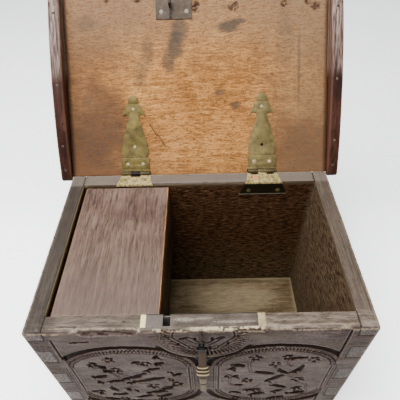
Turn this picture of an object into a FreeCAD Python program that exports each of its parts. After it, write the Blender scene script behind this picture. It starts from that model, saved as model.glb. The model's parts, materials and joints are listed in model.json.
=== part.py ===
import FreeCAD, Part
import os
from math import cos, pi, radians, sin, tan

# Carved oak offertory box with a hinged lid, a covered till, a mortised box lock and a cast drop.
# Millimetres. X runs along the front, left to right; Y runs from front to back; Z is up.
# The origin is the centre of the underside, on the surface that the box stands on.
# Every lid piece is drawn with the lid shut, then turned to the open position, which is the rest pose.

os.makedirs("parts", exist_ok=True)
V = FreeCAD.Vector
X_AXIS, Y_AXIS, Z_AXIS = V(1, 0, 0), V(0, 1, 0), V(0, 0, 1)
OVER = 1.0  # how far a cutting tool passes the face it opens

# carcass
BOX_X, BOX_Y, BOX_Z = 300.0, 198.0, 210.0
SIDE_T = 16.0  # left and right boards
WALL_T = 16.5  # front and back boards
FLOOR_T = 10.5
SIDE_IN = BOX_X / 2 - SIDE_T
FRONT_Y = -BOX_Y / 2
WALL_IN = BOX_Y / 2 - WALL_T
PIN_H, PIN_PITCH, PIN_FIRST = 23.5, 50.5, 35.0  # side-board pins that show on the front and back
TOP_PIN_H = 13.0  # half pin at the rim

# lid, shut
LID_T = 14.0
LID_OPEN = 128.0
LID_GAP = 0.8  # rim to the underside of the straps
STRAP_T = 1.2
LEAF_T = 1.4
HINGE_Y = BOX_Y / 2 + 1.6
HINGE_Z = BOX_Z + LID_GAP / 2
LID_Z = BOX_Z + LID_GAP + STRAP_T  # underside of the panel
LID_BACK = 2.5  # panel's back edge, behind the hinge line
LID_DEPTH = 210.0  # hinge line to the panel's front edge
CLEAT_IN, CLEAT_OUT = 150.5, 164.0
CLEAT_TAIL = 7.0  # cleat behind the hinge line
CLEAT_H, CLEAT_PEAK, CLEAT_BOW = 16.0, 120.0, 0.00076

# hinges
HINGE_X = 75.0
KNUCKLE_R, PIN_R, KNUCKLE_CLEAR = 2.5, 1.3, 0.3
HINGE_W, MID_KNUCKLE = 33.0, 10.4
RUN_CLEAR = 0.05
LEAF_DROP = 19.0  # leaf down the inside of the back board
STRAP_LEN = 91.0

# till
TILL_RIGHT, TILL_SIDE_T = -35.5, 6.0
TILL_LID_TOP, TILL_LID_T = 206.5, 8.0
TILL_LEFT_GAP, TILL_BACK_GAP, TILL_FRONT_GAP = 2.0, 2.2, 0.8
TILL_FLOOR_TOP, TILL_FLOOR_T, HOUSING = 128.0, 6.0, 3.0
PINTLE_R, PINTLE_LEN, PINTLE_CLEAR = 2.5, 6.0, 0.08

# lock, let into the front board
LOCK_L, LOCK_R, LOCK_LOW = -46.0, 49.0, 158.0
PLATE_T = 1.6
SELVEDGE_Y = FRONT_Y + 4.3
CASE_L, CASE_R, CASE_LOW, CASE_WALL = -44.0, 46.0, 168.0, 0.9
CASE_FRONT = FRONT_Y + 5.0
PLATE_IN = -WALL_IN - PLATE_T  # works side of the back plate
FILLET_L, FILLET_R, FILLET_H = 5.0, 7.0, 4.0
SLOT_L, SLOT_R = -31.7, -25.3
HOOK_X, HOOK_T = -28.5, 2.4
HOOK_FRONT, HOOK_BACK, HOOK_TIP = -92.2, -85.6, 194.5
BOLT_Z, BOLT_H, BOLT_THROW = 201.0, 5.6, 9.0
BOLT_FRONT, BOLT_BACK = -90.5, -87.3
KEY_X, KEY_Z, KEY_R, KEY_W, KEY_H = 1.0, 184.0, 3.0, 3.0, 12.0

# drop on the front
DROP_X = 1.0
DROP_Y = FRONT_Y - 6.8
WIRE_R = 0.9
EYE_R, LINK_R = 2.4, 3.4
STAPLE_Z = BOX_Z - 2.7
EYE_Z = STAPLE_Z - EYE_R
LINK_TOP = EYE_Z - EYE_R + 2 * WIRE_R + KNUCKLE_CLEAR
LINK_Z = LINK_TOP - LINK_R
HEAD_Z = LINK_Z - LINK_R
DROP_T, BALL_R, RIB_HALF, GROOVE_DEPTH = 3.6, 2.4, 6.2, 0.8
# half width of the drop, and how far below the rim
DROP_OUTLINE = [(1.7, 14.1), (4.9, 16.2), (4.9, 17.2), (3.9, 18.0), (4.1, 53.0), (5.3, 54.0), (5.3, 58.0),
                (4.6, 58.8), (4.6, 61.6), (6.1, 62.4), (6.1, 66.0), (4.8, 66.8), (4.8, 69.4), (6.2, 70.2),
                (6.2, 75.0), (4.9, 76.0), (4.5, 82.6), (3.7, 83.8), (3.6, 95.0), (3.0, 96.0), (3.0, 98.4),
                (3.5, 99.4), (2.7, 107.0), (3.7, 114.4), (3.3, 116.0), (1.5, 119.4)]
DROP_GROOVES = [(58.8, 61.6), (66.8, 69.4), (76.0, 82.6), (96.0, 98.4)]  # below the rim


def box(x0, x1, y0, y1, z0, z1):
    return Part.makeBox(x1 - x0, y1 - y0, z1 - z0, V(x0, y0, z0))


def rod(radius, start, end):
    way = end - start
    return Part.makeCylinder(radius, way.Length, start, way)


def joined(shapes):
    return shapes[0].multiFuse(shapes[1:]).removeSplitter() if len(shapes) > 1 else shapes[0]


def without(shape, tools):
    return shape.cut(Part.makeCompound(tools)).removeSplitter()


def face_of(points):
    return Part.Face(Part.makePolygon(points + points[:1]))


def turned(points, origin, axis=Z_AXIS):
    """A solid of revolution from (radius, height) points, standing on origin."""
    ring = face_of([V(r, 0, h) for r, h in points])
    solid = ring.revolve(V(0, 0, 0), Z_AXIS, 360)
    solid.Placement = FreeCAD.Placement(origin, FreeCAD.Rotation(Z_AXIS, axis))
    return solid


def rose_nail(at, into, shank_r=0.9, head_r=1.75, proud=0.5, length=10.0):
    """A hammered nail whose faceted head stands on the surface at the point and whose shank goes in."""
    profile = [(0, -length), (shank_r, -length + 2 * shank_r), (shank_r, 0), (head_r, 0),
               (0.55 * head_r, proud), (0, proud)]
    return turned(profile, at, into * -1)


def flush_screw(at, into, head_r=2.5, shank_r=1.3, length=12.0):
    """A countersunk screw, its slotted head level with the surface at the point."""
    sink, slot_w, slot_d = head_r - shank_r, 0.3 * head_r, 0.5
    profile = [(0, -length), (shank_r, -length + shank_r), (shank_r, -sink), (head_r, 0), (0, 0)]
    screw = turned(profile, V(0, 0, 0))
    slot = box(-head_r, head_r, -slot_w / 2, slot_w / 2, -slot_d, OVER)
    screw = screw.cut(slot)
    screw.Placement = FreeCAD.Placement(at, FreeCAD.Rotation(Z_AXIS, into * -1))
    return screw


def flat_brad(at, into, length=28.0, head_r=1.8, head_t=0.7, shank_r=1.0):
    """A brad driven level with the surface at the point."""
    profile = [(0, -length), (shank_r, -length + 2 * shank_r), (shank_r, -head_t), (head_r, -head_t),
               (head_r, 0), (0, 0)]
    return turned(profile, at, into * -1)


def opened(shape):
    """Turn a lid piece from shut to its rest pose."""
    shape = shape.copy()
    shape.rotate(V(0, HINGE_Y, HINGE_Z), X_AXIS, -LID_OPEN)
    return shape


# ---- fasteners, needed first because the boards are bored for them

BRAD_Z = FLOOR_T / 2
bottom_nails = [flat_brad(V(x, side * BOX_Y / 2, BRAD_Z), V(0, -side, 0))
                for side in (-1, 1) for x in (-105.0, 0.0, 105.0)]
bottom_nails += [flat_brad(V(side * BOX_X / 2, y, BRAD_Z), V(-side, 0, 0))
                 for side in (-1, 1) for y in (-50.0, 50.0)]

TILL_SIDE_MID = TILL_RIGHT - TILL_SIDE_T / 2
till_nails = [flat_brad(V(TILL_SIDE_MID, y, TILL_FLOOR_TOP - TILL_FLOOR_T), Z_AXIS, 18.0, 1.5, 0.6, 0.8)
              for y in (-60.0, 0.0, 60.0)]

LOCK_SCREW_Z = LOCK_LOW + 5.0
lock_screws = [flush_screw(V(x, -WALL_IN, LOCK_SCREW_Z), V(0, -1, 0), 2.3, 1.1, 9.5)
               for x in (LOCK_L + 8.0, (LOCK_L + LOCK_R) / 2, LOCK_R - 8.0)]

RIM_SCREW_Y = BOX_Y / 2 - 8.5
RIM_SCREW_X, BACK_SCREW_X, BACK_SCREW_Z = 11.5, 17.0, BOX_Z - 12.5
COPPER_X = HINGE_X - 9.5
copper_at = V(COPPER_X, RIM_SCREW_Y, BOX_Z)
copper_screw = flush_screw(copper_at, Z_AXIS * -1, 3.1, 1.5, 14.0)
leaf_screws = [flush_screw(V(x, RIM_SCREW_Y, BOX_Z), Z_AXIS * -1)
               for x in (-HINGE_X - RIM_SCREW_X, -HINGE_X + RIM_SCREW_X, HINGE_X + RIM_SCREW_X)]
leaf_screws += [flush_screw(V(mid + side * BACK_SCREW_X, WALL_IN - LEAF_T, BACK_SCREW_Z), Y_AXIS)
                for mid in (-HINGE_X, HINGE_X) for side in (-1, 1)]


# ---- carcass

def pin_bands():
    """Height bands of the side boards' pins, as (low, high)."""
    bands = [(BOX_Z - TOP_PIN_H, BOX_Z)]
    top = BOX_Z - PIN_FIRST
    while top - PIN_H > -OVER:
        bands.append((top - PIN_H, top))
        top -= PIN_PITCH
    return bands


def wall_board(side):
    """The front (-1) or back (+1) board, notched for the side boards' pins."""
    outer, inner = side * BOX_Y / 2, side * WALL_IN
    low, high = min(outer, inner), max(outer, inner)
    board = box(-BOX_X / 2, BOX_X / 2, low, high, 0, BOX_Z)
    notches = []
    for z0, z1 in pin_bands():
        top = z1 + OVER if z1 == BOX_Z else z1
        bottom = z0 - OVER if z0 <= 0 else z0
        for end in (-1, 1):
            x0, x1 = sorted((end * SIDE_IN, end * (BOX_X / 2 + OVER)))
            notches.append(box(x0, x1, low - OVER, high + OVER, bottom, top))
    return without(board, notches)


def side_board(side):
    """The left (-1) or right (+1) board, with pins that reach the front and back faces."""
    x0, x1 = sorted((side * SIDE_IN, side * BOX_X / 2))
    plain = box(x0, x1, -WALL_IN, WALL_IN, 0, BOX_Z)
    pins = [box(x0, x1, -BOX_Y / 2, BOX_Y / 2, z0, z1) for z0, z1 in pin_bands()]
    return joined([plain] + pins)


def keyhole(y0, y1):
    barrel = rod(KEY_R, V(KEY_X, y0, KEY_Z), V(KEY_X, y1, KEY_Z))
    slit = box(KEY_X - KEY_W / 2, KEY_X + KEY_W / 2, y0, y1, KEY_Z - KEY_H, KEY_Z)
    return barrel.fuse(slit)


TILL_LID_LEFT = -SIDE_IN + TILL_LEFT_GAP
PINTLE_X, PINTLE_Z = TILL_LID_LEFT + TILL_LID_T / 2, TILL_LID_TOP - TILL_LID_T / 2
pintle_holes = [rod(PINTLE_R + PINTLE_CLEAR, V(PINTLE_X, side * (WALL_IN - OVER), PINTLE_Z),
                    V(PINTLE_X, side * (WALL_IN + PINTLE_LEN + OVER), PINTLE_Z)) for side in (-1, 1)]
till_floor = box(-SIDE_IN - HOUSING, TILL_RIGHT, -WALL_IN - HOUSING, WALL_IN + HOUSING,
                 TILL_FLOOR_TOP - TILL_FLOOR_T, TILL_FLOOR_TOP)
knuckle_room = [rod(KNUCKLE_R + KNUCKLE_CLEAR, V(x - HINGE_W / 2 - OVER, HINGE_Y, HINGE_Z),
                    V(x + HINGE_W / 2 + OVER, HINGE_Y, HINGE_Z)) for x in (-HINGE_X, HINGE_X)]


def trapezoid(x, half_a, half_b, a, b):
    """Four points symmetric about x, half_a wide at a and half_b wide at b, as (x, place) pairs."""
    return [(x - half_a, a), (x + half_a, a), (x + half_b, b), (x - half_b, b)]


def hinge_leaf(x):
    """The fixed leaf: let into the rim, bent down the inside of the back board, with the middle knuckle."""
    bend_half, foot_half, rear_half = 20.5, 28.0, 17.2
    rear = HINGE_Y - KNUCKLE_R - KNUCKLE_CLEAR
    front = WALL_IN - LEAF_T
    rim_part = face_of([V(px, py, BOX_Z - LEAF_T) for px, py in trapezoid(x, bend_half, rear_half, front, rear)])
    foot = BOX_Z - LEAF_DROP
    back_part = face_of([V(px, front, pz) for px, pz in trapezoid(x, foot_half, bend_half, foot, BOX_Z)])
    neck = box(x - MID_KNUCKLE / 2, x + MID_KNUCKLE / 2, rear - OVER, HINGE_Y, BOX_Z - LEAF_T, BOX_Z)
    knuckle = rod(KNUCKLE_R, V(x - MID_KNUCKLE / 2, HINGE_Y, HINGE_Z), V(x + MID_KNUCKLE / 2, HINGE_Y, HINGE_Z))
    leaf = joined([rim_part.extrude(Z_AXIS * LEAF_T), back_part.extrude(Y_AXIS * LEAF_T), neck, knuckle])
    bore = rod(PIN_R, V(x - HINGE_W, HINGE_Y, HINGE_Z), V(x + HINGE_W, HINGE_Y, HINGE_Z))
    return without(leaf, [bore] + leaf_screws + [copper_screw])


leaves = [hinge_leaf(-HINGE_X), hinge_leaf(HINGE_X)]
hinge_pins = [rod(PIN_R, V(x - HINGE_W / 2, HINGE_Y, HINGE_Z), V(x + HINGE_W / 2, HINGE_Y, HINGE_Z))
              for x in (-HINGE_X, HINGE_X)]

staple_shank = rod(WIRE_R, V(DROP_X, CASE_FRONT - 0.5, STAPLE_Z), V(DROP_X, DROP_Y, STAPLE_Z))
staple_eye = Part.makeTorus(EYE_R, WIRE_R, V(DROP_X, DROP_Y, EYE_Z), X_AXIS)
drop_staple = staple_shank.fuse(staple_eye).removeSplitter()

selvedge = box(LOCK_L, LOCK_R, SELVEDGE_Y, PLATE_IN, BOX_Z - PLATE_T, BOX_Z)
back_plate = box(LOCK_L, LOCK_R, PLATE_IN, -WALL_IN, LOCK_LOW, BOX_Z)
fillets = [box(LOCK_L - FILLET_L, LOCK_L, SELVEDGE_Y, -WALL_IN, BOX_Z - FILLET_H, BOX_Z),
           box(LOCK_R, LOCK_R + FILLET_R, SELVEDGE_Y, -WALL_IN, BOX_Z - FILLET_H, BOX_Z)]
lock_mortise = box(CASE_L, CASE_R, CASE_FRONT, PLATE_IN, CASE_LOW, BOX_Z)

front_board = without(wall_board(-1), [selvedge, back_plate, lock_mortise, till_floor, pintle_holes[0],
                                       keyhole(FRONT_Y - OVER, CASE_FRONT + OVER), staple_shank]
                      + fillets + lock_screws + bottom_nails)
back_board = without(wall_board(1), [till_floor, pintle_holes[1]] + knuckle_room + leaves + leaf_screws
                     + [copper_screw] + bottom_nails)
left_side = without(side_board(-1), [till_floor] + bottom_nails)
right_side = without(side_board(1), bottom_nails)
bottom_board = without(box(-SIDE_IN, SIDE_IN, -WALL_IN, WALL_IN, 0, FLOOR_T), bottom_nails)


# ---- till

def tilled_lid():
    """The till's lid: its left edge is round about the pintles that it turns on."""
    half = TILL_LID_T / 2
    front, back = -WALL_IN + TILL_FRONT_GAP, WALL_IN - TILL_BACK_GAP
    board = box(PINTLE_X, TILL_RIGHT, front, back, PINTLE_Z - half, PINTLE_Z + half)
    nose = rod(half, V(PINTLE_X, front, PINTLE_Z), V(PINTLE_X, back, PINTLE_Z))
    pintles = rod(PINTLE_R, V(PINTLE_X, -WALL_IN - PINTLE_LEN, PINTLE_Z),
                  V(PINTLE_X, WALL_IN + PINTLE_LEN, PINTLE_Z))
    return joined([board, nose, pintles])


till_lid = tilled_lid()
till_bottom = without(till_floor, till_nails)
till_side = without(box(TILL_RIGHT - TILL_SIDE_T, TILL_RIGHT, -WALL_IN, WALL_IN, TILL_FLOOR_TOP,
                        PINTLE_Z - TILL_LID_T / 2), till_nails)


# ---- lock

hook_slot = box(SLOT_L, SLOT_R, SELVEDGE_Y + OVER, -WALL_IN + OVER, BOX_Z - PLATE_T - OVER, BOX_Z + OVER)
lock_plate = without(joined([selvedge, back_plate]), [hook_slot] + lock_screws)
case_inside = box(CASE_L + CASE_WALL, CASE_R - CASE_WALL, CASE_FRONT + CASE_WALL, PLATE_IN + OVER,
                  CASE_LOW + CASE_WALL, BOX_Z)
lock_case = without(box(CASE_L, CASE_R, CASE_FRONT, PLATE_IN, CASE_LOW, BOX_Z - PLATE_T),
                    [case_inside, keyhole(CASE_FRONT - OVER, CASE_FRONT + CASE_WALL + OVER)])
drill_pin = rod(1.2, V(KEY_X, PLATE_IN, KEY_Z), V(KEY_X, CASE_FRONT + CASE_WALL, KEY_Z))

STUD_X, STUD_R = 14.0, 1.5
bolt_stud = rod(STUD_R, V(STUD_X, PLATE_IN, BOLT_Z - 2.0), V(STUD_X, BOLT_FRONT, BOLT_Z - 2.0))


def sliding_bolt():
    """The bolt, drawn back: a tail against the back plate, cranked out to a bar that passes the hook's eye."""
    tail_low, tail_high = BOLT_Z - 10.0, BOLT_Z + 3.0
    tail_l, tail_r = HOOK_X + HOOK_T / 2 + BOLT_THROW + 1.5, 30.0
    tip = SLOT_R - 0.6
    tail = box(tail_l, tail_r, BOLT_BACK - 0.7, PLATE_IN - 0.2, tail_low, tail_high)
    bar = box(tip, tail_l + 10.0, BOLT_FRONT, BOLT_BACK, BOLT_Z - BOLT_H / 2, BOLT_Z + BOLT_H / 2)
    reach = STUD_R + 0.1
    stud_z = BOLT_Z - 2.0
    slot = box(STUD_X, STUD_X + BOLT_THROW, BOLT_FRONT, PLATE_IN + OVER, stud_z - reach, stud_z + reach)
    ends = [rod(reach, V(x, BOLT_FRONT, stud_z), V(x, PLATE_IN + OVER, stud_z))
            for x in (STUD_X, STUD_X + BOLT_THROW)]
    talon_x = KEY_X + BOLT_THROW / 2
    talon = box(talon_x - 3.0, talon_x + 3.0, BOLT_FRONT, PLATE_IN + OVER, tail_low - OVER, tail_low + 5.0)
    return without(joined([tail, bar]), [slot, talon] + ends)


def bow_spring():
    """The bow spring on the bolt's tail, its crown just under the selvedge."""
    foot_z, rise, thick = BOLT_Z + 3.0, 3.3, 0.7
    left, right = -12.0, 26.0
    half = (right - left) / 2
    radius = (half ** 2 + rise ** 2) / (2 * rise)
    mid_x, mid_z = (left + right) / 2, foot_z + rise - radius
    y0, y1 = BOLT_BACK - 0.5, PLATE_IN - 0.6
    outer = rod(radius + thick, V(mid_x, y0, mid_z), V(mid_x, y1, mid_z))
    inner = rod(radius, V(mid_x, y0 - OVER, mid_z), V(mid_x, y1 + OVER, mid_z))
    window = box(left, right, y0, y1, foot_z, foot_z + rise + thick + OVER)
    return outer.cut(inner).common(window)


lock_bolt = sliding_bolt()
bolt_spring = bow_spring()


# ---- drop

link = Part.makeTorus(LINK_R, WIRE_R, V(DROP_X, DROP_Y, LINK_Z), Y_AXIS)


def flat_drop():
    """The cast brass drop: a pierced ball over a flat body, with ribs across its front."""
    half = DROP_T / 2
    right = [(w, BOX_Z - down) for w, down in DROP_OUTLINE]
    left = [(-w, z) for w, z in reversed(right)]
    body = face_of([V(DROP_X + w, DROP_Y - half, z) for w, z in right + left]).extrude(Y_AXIS * DROP_T)
    grooves = [box(DROP_X - RIB_HALF, DROP_X + RIB_HALF, DROP_Y - half - OVER, DROP_Y - half + GROOVE_DEPTH,
                   BOX_Z - low, BOX_Z - top) for top, low in DROP_GROOVES]
    ball = Part.makeSphere(BALL_R, V(DROP_X, DROP_Y, HEAD_Z))
    room = Part.makeTorus(LINK_R, WIRE_R + KNUCKLE_CLEAR, V(DROP_X, DROP_Y, LINK_Z), Y_AXIS)
    return without(joined([body, ball]), grooves + [room])


drop = flat_drop()


# ---- lid, drawn shut

def strap_outline(x):
    """The strap's outline under the lid: square base, waist, belly, long taper, barbed head and knob."""
    under = LID_Z - STRAP_T
    place = lambda half, s: V(x + half, HINGE_Y - s, under)
    half_w = HINGE_W / 2
    belly = [(12.6, 19.4), (15.4, 22.6), (15.9, 27.0), (12.6, 42.0), (9.0, 55.0), (6.3, 63.5), (5.9, 66.6)]
    barb = [(5.9, 66.6), (8.6, 68.9), (11.4, 68.5), (13.4, 66.6)]
    head = [(13.4, 66.6), (12.2, 71.4), (9.8, 75.0), (8.9, 78.2), (4.8, 81.2)]
    knob = [(4.8, 81.2), (6.2, 84.2), (4.6, 88.2), (0.0, STRAP_LEN)]
    runs = [belly, barb, head, knob]
    corners = [(half_w, 0.0), (half_w, 18.0), belly[0]]

    def curve(points):
        spline = Part.BSplineCurve()
        spline.interpolate(points)
        return spline.toShape()

    edges = []
    for mirror in (1, -1):
        side = [place(mirror * h, s) for h, s in corners]
        edges += [Part.makeLine(a, b) for a, b in zip(side, side[1:])]
        last = side[-1]
        for run in runs:
            points = [place(mirror * h, s) for h, s in run]
            if last.distanceToPoint(points[0]) > 1e-6:
                edges.append(Part.makeLine(last, points[0]))
            edges.append(curve(points))
            last = points[-1]
    edges.append(Part.makeLine(place(half_w, 0.0), place(-half_w, 0.0)))
    return Part.Face(Part.Wire(Part.__sortEdges__(edges)))


STRAP_NAILS = [(0.0, 75.0), (0.0, 31.0), (-9.0, 11.0), (9.0, 11.0)]


def strap_nails_at(x, places):
    return [rose_nail(V(x + dx, HINGE_Y - s, LID_Z - STRAP_T), Z_AXIS) for dx, s in places]


# the right strap has lost the nail from its belly, so only the hole is left
left_nails = strap_nails_at(-HINGE_X, STRAP_NAILS)
right_nails = strap_nails_at(HINGE_X, STRAP_NAILS[:1] + STRAP_NAILS[2:])
empty_hole = strap_nails_at(HINGE_X, STRAP_NAILS[1:2])


def hinge_strap(x):
    """The moving strap: a shaped plate under the lid, with the two outer knuckles."""
    plate = strap_outline(x).extrude(Z_AXIS * STRAP_T)
    half = HINGE_W / 2
    inner = MID_KNUCKLE / 2 + KNUCKLE_CLEAR
    barrels = [rod(KNUCKLE_R, V(x + s * inner, HINGE_Y, HINGE_Z), V(x + s * half, HINGE_Y, HINGE_Z))
               for s in (-1, 1)]
    gap = rod(KNUCKLE_R + KNUCKLE_CLEAR, V(x - inner, HINGE_Y, HINGE_Z), V(x + inner, HINGE_Y, HINGE_Z))
    bore = rod(PIN_R + RUN_CLEAR, V(x - HINGE_W, HINGE_Y, HINGE_Z), V(x + HINGE_W, HINGE_Y, HINGE_Z))
    return without(joined([plate] + barrels), [gap, bore] + left_nails + right_nails + empty_hole)


CLEAT_NAILS = [6.0, 34.0, 102.0, 180.0]


def cleat_depth(s):
    return CLEAT_H - CLEAT_BOW * (s - CLEAT_PEAK) ** 2


def cleat_nails(side):
    mid = side * (CLEAT_IN + CLEAT_OUT) / 2
    return [rose_nail(V(mid, HINGE_Y - s, LID_Z - cleat_depth(s)), Z_AXIS, length=cleat_depth(s) + 9.0)
            for s in CLEAT_NAILS]


def cleat(side):
    """An end cleat with a bowed lower edge, outside the box's side board."""
    x = side * CLEAT_IN if side > 0 else -CLEAT_OUT
    stations = [-CLEAT_TAIL + 2.0, 30.0, 75.0, CLEAT_PEAK, 165.0, LID_DEPTH]
    curve = Part.BSplineCurve()
    curve.interpolate([V(x, HINGE_Y - s, LID_Z - cleat_depth(s)) for s in stations])
    first, last = curve.StartPoint, curve.EndPoint
    tail = HINGE_Y + CLEAT_TAIL
    round_z = 1.8
    rear = [first, V(x, tail, first.z + round_z), V(x, tail, LID_Z), V(x, HINGE_Y - LID_DEPTH, LID_Z), last]
    edges = [curve.toShape()] + [Part.makeLine(a, b) for a, b in zip(rear, rear[1:])]
    plate = Part.Face(Part.Wire(Part.__sortEdges__(edges)))
    return without(plate.extrude(X_AXIS * (CLEAT_OUT - CLEAT_IN)), cleat_nails(side))


PLATE_L, PLATE_R, PLATE_REAR, PLATE_FRONT = -45.0, -4.0, 174.5, 203.0
HOOK_NAIL_S, HOOK_NAIL_X = 182.5, (-38.5, -10.0)
hook_nails = [rose_nail(V(x, HINGE_Y - HOOK_NAIL_S, LID_Z - STRAP_T), Z_AXIS) for x in HOOK_NAIL_X]
hook_plate = without(box(PLATE_L, PLATE_R, HINGE_Y - PLATE_FRONT, HINGE_Y - PLATE_REAR, LID_Z - STRAP_T, LID_Z),
                     hook_nails)


def hasp_hook():
    """The thin hook under the plate, with the eye that the bolt shoots through and a low root behind it."""
    x0, x1 = HOOK_X - HOOK_T / 2, HOOK_X + HOOK_T / 2
    plate_z = LID_Z - STRAP_T
    blade = box(x0, x1, HOOK_FRONT, HOOK_BACK, HOOK_TIP, plate_z)
    root = box(x0, x1, HOOK_BACK, HINGE_Y - PLATE_REAR - 1.0, plate_z - 1.0, plate_z)
    room = 0.5
    eye = box(x0 - OVER, x1 + OVER, BOLT_FRONT - room, BOLT_BACK + room,
              BOLT_Z - BOLT_H / 2 - 1.2, BOLT_Z + BOLT_H / 2 + 1.2)
    return without(joined([blade, root]), [eye])


every_lid_nail = left_nails + right_nails + empty_hole + cleat_nails(-1) + cleat_nails(1) + hook_nails
panel_back, panel_front = HINGE_Y + LID_BACK, HINGE_Y - LID_DEPTH
lid_panel = without(box(-CLEAT_OUT, CLEAT_OUT, panel_front, panel_back, LID_Z, LID_Z + LID_T),
                    every_lid_nail + knuckle_room)

# ---- write one STEP file for each node

group = Part.makeCompound
fixed = {
    "front_board": front_board, "back_board": back_board, "left_side": left_side,
    "right_side": right_side, "bottom_board": bottom_board, "bottom_nails": group(bottom_nails),
    "till_bottom": till_bottom, "till_side": till_side, "till_nails": group(till_nails),
    "till_lid": till_lid, "lock_plate": lock_plate, "lock_case": lock_case, "lock_screws": group(lock_screws),
    "lock_fillets": group(fillets), "drill_pin": drill_pin, "bolt_stud": bolt_stud,
    "lock_bolt": lock_bolt, "bolt_spring": bolt_spring, "drop_staple": drop_staple,
    "drop_link": link, "flat_drop": drop, "left_hinge_leaf": leaves[0],
    "right_hinge_leaf": leaves[1], "left_hinge_pin": hinge_pins[0], "right_hinge_pin": hinge_pins[1],
    "leaf_screws": group(leaf_screws), "copper_screw": copper_screw,
}
lid = {
    "lid_panel": lid_panel, "left_cleat": cleat(-1), "right_cleat": cleat(1),
    "cleat_nails": group(cleat_nails(-1) + cleat_nails(1)),
    "left_hinge_strap": hinge_strap(-HINGE_X), "right_hinge_strap": hinge_strap(HINGE_X),
    "strap_nails": group(left_nails + right_nails), "hook_plate": hook_plate, "lid_hook": hasp_hook(),
    "hook_plate_nails": group(hook_nails),
}
for name, shape in fixed.items():
    shape.exportStep(f"parts/{name}.step")
for name, shape in lid.items():
    opened(shape).exportStep(f"parts/{name}.step")
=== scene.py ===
import json
import math
import random

import bmesh
import bpy
import numpy as np
from mathutils import Matrix, Vector


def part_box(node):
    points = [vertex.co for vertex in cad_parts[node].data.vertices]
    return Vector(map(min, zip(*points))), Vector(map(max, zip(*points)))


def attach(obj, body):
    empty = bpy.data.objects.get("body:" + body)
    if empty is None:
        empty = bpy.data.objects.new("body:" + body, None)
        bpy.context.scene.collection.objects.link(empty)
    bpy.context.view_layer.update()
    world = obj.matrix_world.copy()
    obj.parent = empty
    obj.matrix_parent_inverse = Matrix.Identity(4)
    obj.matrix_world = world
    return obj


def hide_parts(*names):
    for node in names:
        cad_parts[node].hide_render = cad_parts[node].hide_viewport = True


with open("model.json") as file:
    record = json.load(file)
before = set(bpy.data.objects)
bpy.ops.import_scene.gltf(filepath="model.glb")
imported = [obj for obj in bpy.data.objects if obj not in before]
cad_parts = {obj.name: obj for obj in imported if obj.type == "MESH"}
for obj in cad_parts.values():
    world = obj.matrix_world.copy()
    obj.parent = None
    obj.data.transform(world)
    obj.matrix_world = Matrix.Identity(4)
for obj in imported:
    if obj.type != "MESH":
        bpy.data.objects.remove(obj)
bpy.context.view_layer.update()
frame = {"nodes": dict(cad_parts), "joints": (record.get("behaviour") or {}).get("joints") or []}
NODES = frame["nodes"]
JOINTS = {joint["name"]: joint for joint in frame["joints"]}
MM = 0.001


# ---- numbers

def box_mm(node):
    """A node's lowest and highest corners in millimetres."""
    low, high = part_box(node)
    return np.array(low) / MM, np.array(high) / MM


CAR_LOW = np.minimum(box_mm("front_board")[0], box_mm("left_side")[0])
CAR_HIGH = np.maximum(box_mm("back_board")[1], box_mm("right_side")[1])
FRONT_IN, BACK_IN = box_mm("front_board")[1][1], box_mm("back_board")[0][1]
SIDE_IN = box_mm("right_side")[0][0]
RIM = CAR_HIGH[2]
PIN_BANDS = [(0.0, 23.5), (50.5, 74.0), (101.0, 124.5), (151.5, 175.0), (197.0, 210.0)]
HINGE = np.array(JOINTS["lid_hinge"]["pos_m"]) / MM
LID_TURN = math.radians(JOINTS["lid_hinge"]["range_deg"][0])
LID_UNDER, LID_T = 212.0, 14.0
CLEAT_IN, CLEAT_OUT, CLEAT_BACK, CLEAT_FRONT = 150.5, 164.0, -7.0, 210.0  # front and back from the hinge line
CLEAT_MID = (CLEAT_IN + CLEAT_OUT) / 2
HINGE_X, STRAP_T = 75.0, 1.2
WIRE, LINK_R, EYE_R = 0.9, 3.4, 2.4  # the wire's radius, and its link's and eye's own
FACE_Y = (93.5, 95.0)  # where the front board's face begins


def cleat_bottom(s):
    """How far a cleat hangs below the panel, at s from the hinge line."""
    return 16.0 - 0.00076 * (s - 120.0) ** 2


def lattice(cell, seed):
    """A repeatable random number from 0 to 1 for each lattice cell."""
    h = cell[..., 0] * 374761393 + cell[..., 1] * 668265263 + cell[..., 2] * 2147483629 + seed * 974634777
    h = ((h & 0xFFFFFFFF) ^ ((h & 0xFFFFFFFF) >> 13)) * 1274126177
    h = (h & 0xFFFFFFFF) ^ ((h & 0xFFFFFFFF) >> 16)
    return (h & 0xFFFF) / 65535.0


def noise(points, size, seed=0):
    """Smooth noise from -1 to 1 at the points; size is a lump's length, or one length for each axis."""
    q = np.asarray(points, float) / size
    cell = np.floor(q).astype(np.int64)
    part = q - cell
    part = part * part * (3 - 2 * part)
    total = 0
    for corner in np.ndindex(2, 2, 2):
        share = np.prod(np.where(np.array(corner), part, 1 - part), axis=-1)
        total = total + share * lattice(cell + np.array(corner), seed)
    return total * 2 - 1


def rough(points, size, seed=0, layers=3):
    """Noise with finer layers on it."""
    return sum(noise(points, np.array(size) / 2 ** i, seed + i) / 2 ** i for i in range(layers)) / 1.75


def fade(value, start, end):
    """0 before start, 1 after end, smooth in between."""
    t = np.clip((value - start) / (end - start), 0, 1)
    return t * t * (3 - 2 * t)


def flat(u, v, w=0.0):
    return np.stack([u, v, np.zeros_like(u) + w], -1)


# ---- meshes

def make(name, points, faces, sharp=40.0):
    """A mesh object from points in millimetres."""
    mesh = bpy.data.meshes.new(name)
    mesh.from_pydata(np.asarray(points) * MM, [], faces)
    mesh.validate()
    thing = bpy.data.objects.new(name, mesh)
    bpy.context.scene.collection.objects.link(thing)
    shade(thing, sharp)
    return thing


def shade(thing, sharp=40.0):
    thing.data.shade_smooth()
    thing.data.set_sharp_from_angle(angle=math.radians(sharp))


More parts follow.
